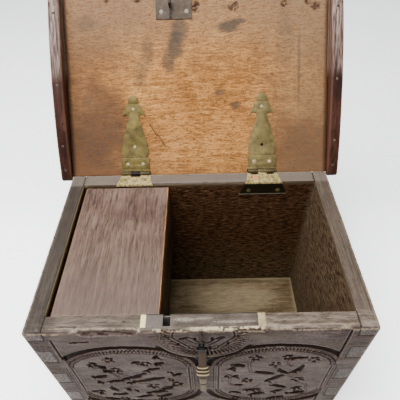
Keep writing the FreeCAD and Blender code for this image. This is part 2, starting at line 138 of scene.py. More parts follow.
def stations(start, end, step, dense=(), reach=1.4, fine=0.35):
    """Places from start to end about a step apart, closer together round the dense ones."""
    places = list(np.linspace(start, end, max(2, round((end - start) / step) + 1)))
    for spot in dense:
        places = [p for p in places if abs(p - spot) > reach or p in (start, end)]
        places += [p for p in np.arange(spot - reach, spot + reach + fine / 2, fine) if start < p < end]
    places = sorted(set(np.round(places, 4)))
    return np.array([p for p, q in zip(places, places[1:] + [1e9]) if q - p > 0.05])


def shell(xs, ys, zs):
    """A box's surface as a grid of quads on the given places."""
    counts = len(xs), len(ys), len(zs)
    skin = np.zeros(counts, bool)
    for axis in range(3):
        for end in (0, -1):
            skin[(slice(None),) * axis + (end,)] = True
    number = np.full(counts, -1)
    number[skin] = np.arange(skin.sum())
    i, j, k = np.nonzero(skin)
    points = np.stack([np.asarray(xs)[i], np.asarray(ys)[j], np.asarray(zs)[k]], 1)
    quads = []
    for axis in range(3):
        for end in (0, -1):
            sheet = number[(slice(None),) * axis + (end,)]
            ring = [sheet[:-1, :-1], sheet[1:, :-1], sheet[1:, 1:], sheet[:-1, 1:]]
            if (end == 0) != (axis == 1):
                ring.reverse()
            quads.append(np.stack([r.ravel() for r in ring], 1))
    return points, np.concatenate(quads)


def eased_box(points, low, high, radius):
    """Rounds the arrises of a box's surface. Gives the new points and their outward directions."""
    radius = np.asarray(radius, float).reshape(-1, 1)
    core = np.clip(points, low + radius, high - radius)
    out = points - core
    out /= np.maximum(np.linalg.norm(out, axis=1, keepdims=True), 1e-9)
    return core + out * radius, out


def cad_copy(name, node, turn=0.0):
    """A closed copy of a CAD node's mesh, turned about the hinge line; the node itself isn't touched."""
    mesh = NODES[node].data.copy()
    work = bmesh.new()
    work.from_mesh(mesh)
    bmesh.ops.remove_doubles(work, verts=work.verts, dist=1e-6)
    if turn:
        centre = Vector(HINGE * MM)
        bmesh.ops.rotate(work, verts=work.verts, cent=centre, matrix=Matrix.Rotation(turn, 3, "X"))
    work.to_mesh(mesh)
    work.free()
    mesh.materials.clear()
    for extra in list(mesh.attributes):
        if not extra.is_required and not extra.is_internal:
            mesh.attributes.remove(extra)
    thing = bpy.data.objects.new(name, mesh)
    bpy.context.scene.collection.objects.link(thing)
    return thing


def combine(thing, tool, how, keep_tool=False):
    """Applies a boolean; how is INTERSECT, DIFFERENCE or UNION."""
    change = thing.modifiers.new("combine", "BOOLEAN")
    change.solver, change.operation, change.object = "MANIFOLD", how, tool
    graph = bpy.context.evaluated_depsgraph_get()
    result = bpy.data.meshes.new_from_object(thing.evaluated_get(graph))
    thing.modifiers.remove(change)
    old, thing.data = thing.data, result
    bpy.data.meshes.remove(old)
    if not keep_tool:
        drop(tool)
    return thing


def drop(thing):
    mesh = thing.data
    bpy.data.objects.remove(thing)
    bpy.data.meshes.remove(mesh)


def places(thing):
    co = np.empty(len(thing.data.vertices) * 3, np.float32)
    thing.data.vertices.foreach_get("co", co)
    return co.reshape(-1, 3).astype(float) / MM


def set_places(thing, points):
    thing.data.vertices.foreach_set("co", (points * MM).astype(np.float32).ravel())
    thing.data.update()


def tag(thing, name, values):
    """Stores one number for each vertex, for the material to read."""
    attribute = thing.data.attributes.new(name, "FLOAT", "POINT")
    attribute.data.foreach_set("value", np.asarray(values, np.float32))


def soften(thing, width, segments=2, angle=35.0):
    """Bevels the sharp edges of a mesh."""
    work = bmesh.new()
    work.from_mesh(thing.data)
    bmesh.ops.dissolve_limit(work, angle_limit=math.radians(1.0), verts=work.verts, edges=work.edges)
    edges = [e for e in work.edges if len(e.link_faces) == 2 and e.calc_face_angle() > math.radians(angle)]
    bmesh.ops.bevel(work, geom=edges, offset=width * MM, segments=segments, profile=0.6, affect="EDGES",
                    clamp_overlap=True)
    bmesh.ops.triangulate(work, faces=[f for f in work.faces if len(f.verts) > 4])
    work.to_mesh(thing.data)
    work.free()
    shade(thing, 30.0)
    return thing


def lathe(outline, steps=40, wobble=0.0, seed=0):
    """Points and faces of a closed turned shape from (radius, height) pairs, both ends on the axis."""
    rings = [(r, h) for r, h in outline if r > 1e-6]
    angle = np.arange(steps) * 2 * math.pi / steps
    ring = np.stack([np.cos(angle), np.sin(angle)], 1)
    points = [np.column_stack([ring * r, np.full(steps, h)]) for r, h in rings]
    points = np.concatenate(points + [[[0, 0, outline[0][1]]], [[0, 0, outline[-1][1]]]])
    if wobble:
        points[:, :2] *= 1 - wobble * (0.5 + 0.5 * noise(points, 1.3, seed))[:, None]
    first, last, base = len(points) - 2, len(points) - 1, (len(rings) - 1) * steps
    downward = outline[0][1] > outline[-1][1]
    faces = []
    for i in range(len(rings) - 1):
        for j in range(steps):
            k = (j + 1) % steps
            face = (i * steps + j, i * steps + k, (i + 1) * steps + k, (i + 1) * steps + j)
            faces.append(face[::-1] if downward else face)
    for j in range(steps):
        k = (j + 1) % steps
        faces.append((first, j, k) if downward else (first, k, j))
        faces.append((last, base + k, base + j) if downward else (last, base + j, base + k))
    return points, faces


def several(name, shapes, sharp=40.0):
    """One object from several (points, faces) pairs."""
    points, faces, start = [], [], 0
    for p, f in shapes:
        points.append(p)
        faces += [tuple(int(n) + start for n in face) for face in f]
        start += len(p)
    return make(name, np.concatenate(points), faces, sharp)


def eased(name, node, width, material, body, slot, hung=False):
    """A CAD node's own shape with its edges softened, dressed to stand for it."""
    thing = soften(cad_copy(name, node, -LID_TURN if hung else 0.0), width)
    return dress(hang(thing) if hung else thing, material, body, slot, node)


def dress(thing, material, body, slot, *nodes):
    """Gives a piece its material and its body, and hides the CAD nodes that it stands for; the slot argument
    is not used.
    """
    thing.data.materials.clear()
    thing.data.materials.append(material)
    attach(thing, body)
    if nodes:
        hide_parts(*nodes)
    return thing


# ---- materials

class Paint:
    """A procedural material. Lengths in it are millimetres of the piece's own space."""

    def __init__(self, name, hung=False):
        self.material = bpy.data.materials.new(name)
        self.material.use_nodes = True
        self.tree = self.material.node_tree
        self.tree.nodes.clear()
        self.shader = self.tree.nodes.new("ShaderNodeBsdfPrincipled")
        end = self.tree.nodes.new("ShaderNodeOutputMaterial")
        self.tree.links.new(self.shader.outputs[0], end.inputs["Surface"])
        here = self.tree.nodes.new("ShaderNodeTexCoord").outputs["Object"]
        if hung:  # a lid piece is painted as it lies when the lid is shut
            turn = self.tree.nodes.new("ShaderNodeVectorRotate")
            turn.rotation_type = "X_AXIS"
            turn.inputs["Center"].default_value = HINGE * MM
            turn.inputs["Angle"].default_value = -LID_TURN
            self.tree.links.new(here, turn.inputs["Vector"])
            here = turn.outputs[0]
        self.place = self.node("ShaderNodeVectorMath", "Vector", operation="SCALE", Vector=here, Scale=1 / MM)
        split = self.tree.nodes.new("ShaderNodeSeparateXYZ")
        self.tree.links.new(self.place, split.inputs[0])
        self.x, self.y, self.z = split.outputs

    def node(self, kind, output, operation=None, **inputs):
        made = self.tree.nodes.new(kind)
        if operation:
            made.operation = operation
        for name, value in inputs.items():
            self.put(made.inputs[name], value)
        return made.outputs[output]

    def put(self, socket, value):
        if isinstance(value, bpy.types.NodeSocket):
            self.tree.links.new(value, socket)
        elif isinstance(value, tuple) and len(value) == 3 and len(socket.default_value) == 4:
            socket.default_value = (*value, 1.0)
        else:
            socket.default_value = value

    def sums(self, operation, a, b=0.0):
        made = self.tree.nodes.new("ShaderNodeMath")
        made.operation = operation
        self.put(made.inputs[0], a)
        self.put(made.inputs[1], b)
        return made.outputs[0]

    def times(self, a, b):
        return self.sums("MULTIPLY", a, b)

    def plus(self, a, b):
        return self.sums("ADD", a, b)

    def minus(self, a, b):
        return self.sums("SUBTRACT", a, b)

    def absolute(self, a):
        return self.sums("ABSOLUTE", a)

    def between(self, value, rise, fall):
        """1 between two soft edges; each is a pair, the place where it is 0 and the place where it is 1."""
        return self.times(self.span(value, *rise), self.span(value, *fall))

    def along(self, stretch, shift=(0.0, 0.0, 0.0)):
        """Space drawn out by these factors."""
        return self.node("ShaderNodeMapping", "Vector", Vector=self.place, Location=shift,
                         Scale=tuple(1 / s for s in stretch))

    def noise(self, where, size, detail=3.0, roughness=0.55, bend=0.0):
        return self.node("ShaderNodeTexNoise", "Fac", Vector=where, Scale=1 / size, Detail=detail,
                         Roughness=roughness, Distortion=bend)

    def span(self, value, low, high, to_low=0.0, to_high=1.0):
        """Maps low..high to to_low..to_high, smoothly and with no overshoot."""
        made = self.tree.nodes.new("ShaderNodeMapRange")
        made.interpolation_type = "SMOOTHSTEP"
        for socket, v in zip(made.inputs, (value, low, high, to_low, to_high)):
            self.put(socket, v)
        return made.outputs[0]

    def mix(self, share, a, b, how="MIX"):
        made = self.tree.nodes.new("ShaderNodeMix")
        made.data_type, made.blend_type = "RGBA", how
        self.put(made.inputs[0], share)
        self.put(made.inputs[6], a)
        self.put(made.inputs[7], b)
        return made.outputs[2]

    def ramp(self, value, *stops):
        made = self.tree.nodes.new("ShaderNodeValToRGB")
        while len(made.color_ramp.elements) < len(stops):
            made.color_ramp.elements.new(0.5)
        for element, (where, colour) in zip(made.color_ramp.elements, stops):
            element.position, element.color = where, (*colour, 1.0)
        self.put(made.inputs[0], value)
        return made.outputs[0]

    def tagged(self, name):
        made = self.tree.nodes.new("ShaderNodeAttribute")
        made.attribute_name = name
        return made.outputs["Fac"]

    def spot(self, at, size, soft=0.6, ragged=0.5, grain=6.0):
        """A ragged patch: 1 in the middle and 0 outside; at and size are (x, y, z), size 0 means any."""
        total = 0.0
        for axis, centre, half in zip((self.x, self.y, self.z), at, size):
            if half:
                away = self.times(self.minus(axis, centre), 1 / half)
                total = self.plus(self.sums("POWER", self.absolute(away), 2.0), total)
        wander = self.times(self.minus(self.noise(self.place, grain, 4), 0.5), 4 * ragged)
        return self.span(self.plus(total, wander), 1.0 + soft, 1.0 - soft)

    def finish(self, colour, height, depth=0.3, rough=0.6, strength=1.0, **shader):
        bump = self.node("ShaderNodeBump", "Normal", Height=height, Distance=depth * MM, Strength=strength)
        self.put(self.shader.inputs["Base Color"], colour)
        self.put(self.shader.inputs["Normal"], bump)
        self.put(self.shader.inputs["Roughness"], rough)
        for name, value in shader.items():
            self.put(self.shader.inputs[name.replace("_", " ")], value)
        return self.material


def grey(value):
    return (value, value, value)


class Oak(Paint):
    """Oak: broad figure, fibres, open pores and blotches, all drawn out along the grain axis."""

    def __init__(self, name, grain, dark, mid, light, figure=11.0, ray=0.35, blotch=45.0, contrast=0.5,
                 seed=0.0,
                 hung=False, stretch=(13.0, 24.0)):
        super().__init__(name, hung)
        long = [1.0, 1.0, 1.0]
        long[grain] = stretch[0]
        shift = (seed, seed * 1.7, seed * 0.6)
        lines = self.along(long, shift)
        long[grain] = stretch[1]
        hair = self.along(long, shift)
        self.figure = self.noise(lines, figure, 5, 0.6, 0.8)
        self.fibre = self.noise(hair, 1.5, 4, 0.65)
        self.pores = self.span(self.noise(lines, 0.75, 2, 0.5), 0.60, 0.72)
        self.cloud = self.noise(self.place, blotch, 4, 0.6, 0.4)
        flecks = self.span(self.noise(self.along([1 + 2.2 * (i != grain) for i in range(3)], shift), 2.6, 2),
                           0.60, 0.72)
        tone = self.plus(self.times(self.figure, 0.55), self.times(self.cloud, 0.45))
        base = self.ramp(self.span(tone, 0.33, 0.67), (0.0, dark), (0.5, mid), (1.0, light))
        base = self.mix(1.0, base, self.ramp(self.fibre, (0.25, grey(1 - contrast)), (0.5, grey(1.0)),
                                             (0.8, grey(1 + 0.3 * contrast))), "MULTIPLY")
        base = self.mix(self.times(flecks, ray), base, light)
        self.base = self.mix(self.times(self.pores, 0.55), base, tuple(0.35 * c for c in dark))
        height = self.plus(self.times(self.fibre, 0.7), self.times(self.figure, 0.5))
        self.height = self.minus(height, self.times(self.pores, 0.5))


def on_top(paint, soft=1.2):
    """1 on the rim."""
    return paint.span(paint.z, RIM - soft, RIM - 0.25)


def inside(paint):
    """1 on the faces that look into the box."""
    along_x = paint.span(paint.absolute(paint.x), SIDE_IN + 0.9, SIDE_IN + 0.4)
    along_y = paint.span(paint.absolute(paint.y), BACK_IN + 0.9, BACK_IN + 0.4)
    return paint.times(along_x, along_y)


RIM_TONE = (0.026, 0.0182, 0.0115)
RIM_LIGHT = (0.069, 0.0525, 0.0370)
SEAM_TONE = (0.006, 0.0045, 0.0035)


def wear(paint, base):
    """Greyed rim, pale rubbed arrises and dark joints, from the tags on the boards."""
    dusty = paint.mix(paint.span(paint.fibre, 0.3, 0.7), RIM_TONE, RIM_LIGHT)
    dusty = paint.mix(paint.span(paint.noise(paint.place, 16.0, 6, 0.75), 0.48, 0.60, 0.0, 0.7), dusty,
                      (0.036, 0.023, 0.017))
    lighter = paint.mix(paint.span(paint.noise(paint.along((6.0, 1.0, 1.0)), 2.4, 6, 0.75), 0.42, 0.60, 0.0,
                                   0.9), dusty, (0.138, 0.106, 0.083))
    lighter = paint.mix(paint.span(paint.x, -30.0, 40.0, 0.42, 0.0), lighter, RIM_TONE)
    dusty = paint.mix(paint.span(paint.y, -70.0, -92.0), dusty, lighter)
    dusty = paint.mix(paint.span(paint.x, -126.0, -136.0, 0.0, 0.8), dusty, (0.22, 0.20, 0.16), "MULTIPLY")
    dusty = paint.mix(paint.span(paint.y, 79.0, 84.0, 0.0, 0.5), dusty, (0.125, 0.098, 0.078))
    base = paint.mix(paint.times(on_top(paint), 0.85), base, dusty)
    patchy = paint.span(paint.noise(paint.place, 4.0, 4, 0.7), 0.36, 0.60, 0.1, 1.0)
    rubbed = paint.times(paint.tagged("worn"), patchy)
    base = paint.mix(paint.times(rubbed, 0.8), base, (0.20, 0.155, 0.11))
    return paint.mix(paint.tagged("seam"), base, SEAM_TONE)


def carved_oak():
    p = Oak("carved_oak", 0, (0.020, 0.0118, 0.0092), (0.0365, 0.0235, 0.0197), (0.060, 0.042, 0.036), 6.0,
            contrast=0.7, stretch=(5.0, 7.0))
    cut = p.tagged("cut")
    dots = p.noise(p.place, 2.2, 5, 0.75)
    flakes = p.noise(p.along((1.0, 1.0, 1.0), (9.0, 4.0, 2.0)), 2.0, 5, 0.75)
    stains = p.noise(p.place, 24.0, 3)
    for marks, low, high, most, colour in ((dots, 0.50, 0.62, 0.55, (0.012, 0.0068, 0.0048)),
                                           (flakes, 0.52, 0.64, 0.55, (0.075, 0.060, 0.052)),
                                           (stains, 0.52, 0.66, 0.45, (0.040, 0.030, 0.017))):
        p.base = p.mix(p.span(marks, low, high, 0.0, most), p.base, colour)
    p.base = p.mix(p.times(p.between(p.x, (-20.0, -70.0), (-132.0, -124.0)),
                           p.span(p.z, 168.0, 182.0, 0.0, 0.35)), p.base, (0.070, 0.052, 0.047))
    base = p.mix(p.span(cut, 0.0, 0.75), p.base, p.mix(p.cloud, (0.0045, 0.0023, 0.0016),
                                                       (0.0105, 0.0058, 0.0042)))
    raised = p.times(p.span(cut, 0.0, -1.0), p.span(p.noise(p.place, 3.0, 3), 0.3, 0.7, 0.4, 1.0))
    base = p.mix(p.times(raised, 0.8), base, (0.105, 0.082, 0.071))
    inner = p.mix(0.9, p.base, (0.030, 0.015, 0.007))
    base = p.mix(inside(p), base, inner)
    base = wear(p, base)
    cream = p.mix(p.noise(p.place, 2.0, 3), (0.15, 0.115, 0.065), (0.40, 0.34, 0.22))
    base = p.mix(p.tagged("filler"), base, cream)
    return p.finish(base, p.height, 0.45, p.span(p.cloud, 0.3, 0.7, 0.6, 0.45), 1.0,
                    Specular_IOR_Level=p.span(on_top(p), 0.0, 1.0, 0.02, 0.18))


def board_oak(name, grain, seed=0.0):
    p = Oak(name, grain, (0.024, 0.017, 0.013), (0.046, 0.034, 0.028), (0.078, 0.062, 0.052), 8.0,
            contrast=0.6, seed=seed)
    ends = p.span(p.absolute(p.y if grain != 0 else p.x), *((97.6, 98.4) if grain != 0 else (148.4, 149.2)))
    grain_end = p.mix(p.span(p.noise(p.place, 1.6, 4, 0.75), 0.35, 0.65), (0.018, 0.0133, 0.0108),
                      (0.074, 0.059, 0.051))
    grain_end = p.mix(p.span(p.x, 100.0, -100.0), grain_end, (1.3, 1.3, 1.35), "MULTIPLY")
    base = p.mix(ends, p.base, grain_end)
    rough_sawn = p.noise(p.along([4.0 if i == grain else 1.0 for i in range(3)], (seed, 3.0, 7.0)), 2.2, 6,
                         0.75, 0.4)
    deep = p.mix(p.span(p.z, 120.0, 20.0), (0.046, 0.021, 0.0086), (0.058, 0.037, 0.0165))
    streaks = p.mix(p.span(rough_sawn, 0.42, 0.56), (0.0075, 0.0029, 0.0012), deep)
    streaks = p.mix(p.span(rough_sawn, 0.57, 0.68), streaks, (0.125, 0.076, 0.041))
    streaks = p.mix(p.span(p.x, 128.0, 134.0), streaks,
                    p.mix(p.span(rough_sawn, 0.36, 0.64), (0.0095, 0.0050, 0.0026), (0.088, 0.057, 0.032)))
    streaks = p.mix(p.span(p.z, RIM - 8.0, RIM - 1.5, 0.0, 0.7), streaks, (0.070, 0.052, 0.032))
    # painted light: the left wall's top strip beside the till lid is painted pale, as if lit, where it stands
    # in shade
    painted_light_over_till = p.times(p.span(p.x, -129.0, -131.0), p.span(p.z, RIM - 5.0, RIM - 1.0))
    streaks = p.mix(painted_light_over_till, streaks, (0.17, 0.13, 0.072))
    base = p.mix(inside(p), base, streaks)
    base = wear(p, base)
    shine = p.span(on_top(p), 0.0, 1.0, 0.04, 0.2)
    return p.finish(base, p.height, 0.45, p.span(p.cloud, 0.3, 0.7, 0.64, 0.5), 1.0, Specular_IOR_Level=shine)


def floor_oak():
    p = Oak("floor_oak", 0, (0.036, 0.022, 0.0095), (0.070, 0.048, 0.025), (0.115, 0.085, 0.048), 4.0,
            contrast=0.6, seed=31.0, stretch=(8.0, 8.0))
    pale = p.times(p.spot((40.0, 50.0, 0.0), (58.0, 23.0, 0.0), 0.95, 0.2, 14.0), 0.65)
    base = p.mix(pale, p.base, p.mix(p.span(p.fibre, 0.3, 0.7), (0.126, 0.096, 0.055), (0.21, 0.165, 0.102)))
    rim = p.sums("MAXIMUM", p.span(p.y, 78.0, 81.5), p.span(p.x, 129.0, 133.0))
    base = p.mix(p.times(rim, 0.45), base, (0.125, 0.105, 0.058))
    return p.finish(base, p.height, 0.35, 0.62, 0.9, Specular_IOR_Level=0.05)


def till_oak():
    p = Oak("till_oak", 1, (0.040, 0.0215, 0.015), (0.070, 0.0415, 0.0305), (0.102, 0.0665, 0.051), 3.2, 0.15,
            contrast=0.95, seed=57.0, stretch=(16.0, 12.0))
    specks = p.span(p.noise(p.along((1.0, 3.0, 1.0)), 1.1, 4, 0.7), 0.60, 0.68)
    p.base = p.mix(p.times(specks, 0.5), p.base, (0.020, 0.011, 0.007))
    base = p.mix(p.span(p.y, 20.0, -75.0, 0.0, 0.5), p.base, (0.080, 0.054, 0.043))
    stain = p.times(p.spot((-74.0, 26.0, 0.0), (5.0, 3.5, 0.0), 0.8, 0.5, 3.0), 0.22)
    base = p.mix(stain, base, (0.16, 0.12, 0.065))
    cut = p.span(p.x, -36.6, -36.0)
    base = p.mix(cut, base, p.mix(p.span(p.fibre, 0.3, 0.7), (0.090, 0.032, 0.008), (0.42, 0.185, 0.052)))
    base = p.mix(p.times(p.tagged("worn"), 0.35), base, (0.15, 0.095, 0.062))
    return p.finish(base, p.height, 0.25, p.span(p.cloud, 0.3, 0.7, 0.56, 0.42), 0.9, Specular_IOR_Level=0.2)


def till_wall_oak():
    """The till's fixed boards, dark brown like the rest of the inside: the darkness is painted shade under
    the till lid.
    """
    p = Oak("till_wall_oak", 1, (0.020, 0.011, 0.005), (0.040, 0.024, 0.011), (0.072, 0.048, 0.024), 6.0, 0.2,
            contrast=0.6,
            seed=83.0)
    return p.finish(p.base, p.height, 0.35, 0.6, 0.9, Specular_IOR_Level=0.05)


def lid_oak():
    """Warm oak under the lid, dark patina outside. It is painted as it lies when the lid is shut."""
    p = Oak("lid_oak", 0, (0.130, 0.053, 0.0138), (0.225, 0.098, 0.026), (0.32, 0.155, 0.046), 4.0, 0.45,
            50.0, 0.9,
            hung=True, stretch=(7.0, 4.5))
    s = lambda value: HINGE[1] - value
    # painted light: the underside is painted brightest in a broad middle patch and darker outside it, for the
    # fall-off of the light across the lid
    middle = p.spot((12.0, s(86.0), 0.0), (118.0, 96.0, 0.0), 0.95, 0.35, 40.0)
    base = p.mix(p.times(p.minus(1.0, middle), 0.7), p.base, (0.066, 0.034, 0.020))
    base = p.mix(p.span(p.y, s(105.0), s(190.0), 0.0, 0.5), base, (0.158, 0.104, 0.060))
    # painted shade: darker towards the right edge of the underside, where the light falls off
    base = p.mix(p.span(p.x, 45.0, 125.0, 0.0, 0.55), base, (0.125, 0.080, 0.044))
    # painted shade: the corners next to the hinge and a patch on the left are painted darker where the light
    # falls off
    for x, dark in ((-124.0, 0.62), (126.0, 0.6)):
        corner = p.spot((x, s(22.0), 0.0), (46.0, 40.0, 0.0), 0.8, 0.5, 18.0)
        base = p.mix(p.times(corner, dark), base, (0.038, 0.022, 0.0135))
    shadowed = p.spot((-112.0, s(58.0), 0.0), (34.0, 44.0, 0.0), 0.8, 0.5, 18.0)
    base = p.mix(p.times(shadowed, 0.72), base, (0.034, 0.0205, 0.0135))
    ripple = p.span(p.noise(p.along((3.6, 1.0, 1.0), (5.0, 2.0, 1.0)), 1.3, 3, 0.6, 1.2), 0.48, 0.62)
    base = p.mix(p.times(ripple, 0.72), base, (0.085, 0.032, 0.0085))
    inky = (0.024, 0.022, 0.018)
    for at, size, share in (((-19.0, s(163.0), 0), (9.5, 13.0, 0), 0.85),
                            ((-24.0, s(146.0), 0), (9.0, 15.0, 0), 0.9),
                            ((-32.0, s(128.0), 0), (7.0, 13.0, 0), 0.75),
                            ((-56.0, s(138.0), 0), (7.0, 18.0, 0), 0.5),
                            ((-66.0, s(113.0), 0), (8.0, 15.0, 0), 0.45),
                            ((37.0, s(165.0), 0), (12.0, 6.5, 0), 0.95),
                            ((48.0, s(171.0), 0), (10.0, 3.0, 0), 0.85),
                            ((26.0, s(92.0), 0), (6.0, 3.5, 0), 0.75),
                            ((45.0, s(77.5), 0), (5.0, 4.5, 0), 0.8),
                            ((-126.0, s(172.0), 0), (12.0, 9.0, 0), 0.4),
                            ((118.0, s(120.0), 0), (1.6, 44.0, 0), 0.5),
                            ((101.0, s(150.0), 0), (10.0, 30.0, 0), 0.3)):
        base = p.mix(p.times(p.spot(at, size, 0.9, 0.4, 9.0), 0.85 * share), base, inky)
    # painted shade: nail holes and worm nibbles are painted near black for the shade down in them
    base = p.mix(p.tagged("hole"), base, (0.006, 0.004, 0.003))
    for x, at, far in ((-52.0, 50.0, 8.0), (-43.0, 38.0, 9.0)):
        scratch = p.absolute(p.plus(p.plus(p.x, -x), p.times(p.plus(p.y, -s(at)), -0.6)))
        scratch = p.times(p.span(scratch, 1.2, 0.4), p.spot((x, s(at), 0.0), (far, far, 0.0), 0.3, 0.1))
        base = p.mix(p.times(scratch, 0.8), base, (0.035, 0.014, 0.006))
    # painted shade: a near-black spot under the right strap's empty nail hole stands for the shade of the
    # hole's depth
    base = p.mix(p.spot((75.0, s(31.0), 0.0), (2.8, 2.8, 0.0), 0.9, 0.1, 2.0), base, (0.003, 0.002, 0.0015))
    # painted shade: the panel is painted darker along its edges where the cleats hang beside it
    base = p.mix(p.span(p.absolute(p.x), 145.0, 150.0, 0.0, 0.85), base, (0.018, 0.008, 0.004))
    outer = p.mix(p.span(p.figure, 0.35, 0.65), (0.018, 0.008, 0.005), (0.055, 0.027, 0.018))
    outer = p.mix(p.times(p.tagged("worn"), 0.6), outer, (0.12, 0.08, 0.055))
    base = p.mix(p.span(p.z, LID_UNDER + 0.5, LID_UNDER + 1.2), base, outer)
    return p.finish(base, p.height, 0.4, p.span(p.cloud, 0.3, 0.7, 0.56, 0.42), 1.0, Specular_IOR_Level=0.04)


def cleat_oak():
    """Polished dark cleats, painted a pale grey sheen towards the front that stands in for the light they
    reflect there.
    """
    p = Oak("cleat_oak", 1, (0.009, 0.0027, 0.0014), (0.018, 0.0055, 0.0028), (0.038, 0.014, 0.0085), 5.0,
            0.2, contrast=0.7,
            hung=True)
    # painted reflection: the cleats are painted pale grey towards the front for the light reflected off them
    # there
    front = p.span(p.y, -2.0, -22.0)
    painted_sheen = p.mix(p.span(p.fibre, 0.35, 0.65), (0.036, 0.020, 0.015), (0.21, 0.155, 0.130))
    share = p.times(front, p.span(p.noise(p.along((1.0, 7.0, 1.0)), 5.0, 4, 0.6), 0.30, 0.62, 0.15, 0.95))
    base = p.mix(share, p.base, painted_sheen)
    base = p.mix(p.times(p.tagged("worn"), 0.5), base, (0.080, 0.032, 0.019))
    return p.finish(base, p.height, 0.35, p.span(p.fibre, 0.3, 0.7, 0.5, 0.34), 1.0, Specular_IOR_Level=0.08)


def iron(name, rust, dark=(0.016, 0.014, 0.013), light=(0.070, 0.064, 0.060)):
    p = Paint(name)
    grainy = p.noise(p.place, 0.9, 5, 0.65)
    blot = p.noise(p.place, 4.5, 4, 0.6)
    base = p.mix(grainy, dark, light)
    red = p.times(p.span(blot, 0.46, 0.62), rust)
    base = p.mix(red, base, p.mix(grainy, (0.026, 0.016, 0.010), (0.105, 0.074, 0.052)))
    height = p.plus(grainy, p.times(blot, 1.5))
    return p.finish(base, height, 0.15, p.span(grainy, 0.3, 0.7, 0.45, 0.7), 0.8, Metallic=0.15,
                    Specular_IOR_Level=0.1)


def plate_iron():
    """The lock's top plate: worn grey, pitted, with a few pale scuffs."""
    p = Paint("plate_iron")
    grainy = p.noise(p.place, 0.8, 5, 0.7)
    wide = p.noise(p.along((3.0, 1.0, 1.0)), 5.0, 4, 0.6)
    base = p.mix(p.span(wide, 0.3, 0.7), (0.037, 0.0285, 0.0225), (0.085, 0.068, 0.055))
    base = p.mix(p.times(p.span(grainy, 0.56, 0.66), 0.7), base, (0.014, 0.010, 0.008))
    for x, y, wide, deep in ((-13.0, -88.0, 9.0, 1.6), (4.0, -87.0, 6.0, 0.9), (30.0, -90.5, 16.0, 1.2)):
        scuff = p.times(p.spot((x, y, 0.0), (wide, deep, 0.0), 0.9, 0.8, 1.6), p.span(grainy, 0.40, 0.60))
        base = p.mix(p.times(scuff, 0.8), base, (0.22, 0.195, 0.16))
    base = p.mix(p.span(p.x, -24.2, -25.2), base, p.mix(grainy, (0.030, 0.024, 0.020), (0.115, 0.098, 0.086)))
    base = p.mix(p.span(p.y, -83.6, -82.9), base, (0.020, 0.016, 0.014))
    return p.finish(base, grainy, 0.15, p.span(grainy, 0.3, 0.7, 0.5, 0.72), 0.7, Metallic=0.1,
                    Specular_IOR_Level=0.1)


def aged_brass(name, bright, mid, dark, pale=None, pale_above=None):
    """Old lacquered brass: olive tarnish, dark specks, rubbed arrises."""
    p = Paint(name)
    grainy = p.noise(p.place, 0.7, 4, 0.65)
    blot = p.noise(p.place, 9.0, 4, 0.6, 0.5)
    fine = p.noise(p.along((1.0, 5.0, 5.0)), 0.8, 2)
    base = p.ramp(blot, (0.28, dark), (0.42, mid), (0.68, bright))
    base = p.mix(p.times(p.span(grainy, 0.58, 0.70), 0.5), base, tuple(0.3 * c for c in dark))
    base = p.mix(p.times(p.span(p.noise(p.place, 2.3, 5, 0.7), 0.60, 0.68), 0.5), base,
                 tuple(0.35 * c for c in dark))
    # painted shade: the brass is painted darker round the hinge knuckles, for the shade in the hinge's crease
    reach = [p.sums("POWER", p.minus(along, at), 2.0) for along, at in ((p.y, HINGE[1]), (p.z, HINGE[2]))]
    knuckle_shade = p.times(p.span(p.plus(*reach), 9.6, 8.2), p.span(grainy, 0.30, 0.62, 0.9, 0.45))
    base = p.mix(knuckle_shade, base, (0.012, 0.009, 0.005))
    if pale:
        top = p.between(p.z, (pale_above - 0.4, pale_above), (pale_above + 2.8, pale_above + 2.2))
        cover = p.times(top, p.span(p.noise(p.place, 2.4, 5, 0.7), 0.44, 0.56))
        # painted shade: below pale_above the leaf's bent-down flange is painted near black for the shade it
        # stands in
        base = p.mix(cover, p.mix(p.span(p.z, pale_above - 0.4, pale_above), (0.008, 0.006, 0.0025), base),
                     pale)
        foot = p.times(p.span(p.z, 192.6, 192.0), p.span(p.noise(p.place, 3.0, 3), 0.35, 0.5, 0.3, 1.0))
        base = p.mix(foot, base, (0.17, 0.14, 0.10))
        # painted shade: near-black slots at the back of the leaves stand for the shade in the gaps there
        for low, far in ((-81.5, -68.5), (61.0, 70.5), (79.5, 89.0)):
            slot = p.between(p.x, (low, low + 1.0), (far, far - 1.0))
            base = p.mix(p.times(slot, p.span(p.y, 94.8, 95.8)), base, (0.006, 0.004, 0.003))
    height = p.plus(p.times(grainy, 0.5), p.plus(blot, p.times(fine, 0.3)))
    return p.finish(base, height, 0.12, p.span(grainy, 0.3, 0.75, 0.38, 0.6), 0.7, Metallic=0.3,
                    Specular_IOR_Level=0.12)


def filler():
    p = Paint("pale_filler")
    lumps = p.noise(p.place, 1.8, 5, 0.65)
    base = p.mix(p.span(lumps, 0.35, 0.65), (0.12, 0.088, 0.042), (0.29, 0.225, 0.115))
    base = p.mix(p.span(p.x, -10.0, -18.0, 0.0, 0.7), base,
                 p.mix(lumps, (0.43, 0.34, 0.144), (0.82, 0.68, 0.345)))
    base = p.mix(p.times(p.span(p.noise(p.place, 0.9, 3), 0.58, 0.68), 0.6), base, (0.055, 0.042, 0.028))
    return p.finish(base, lumps, 0.4, 0.8, 1.0)


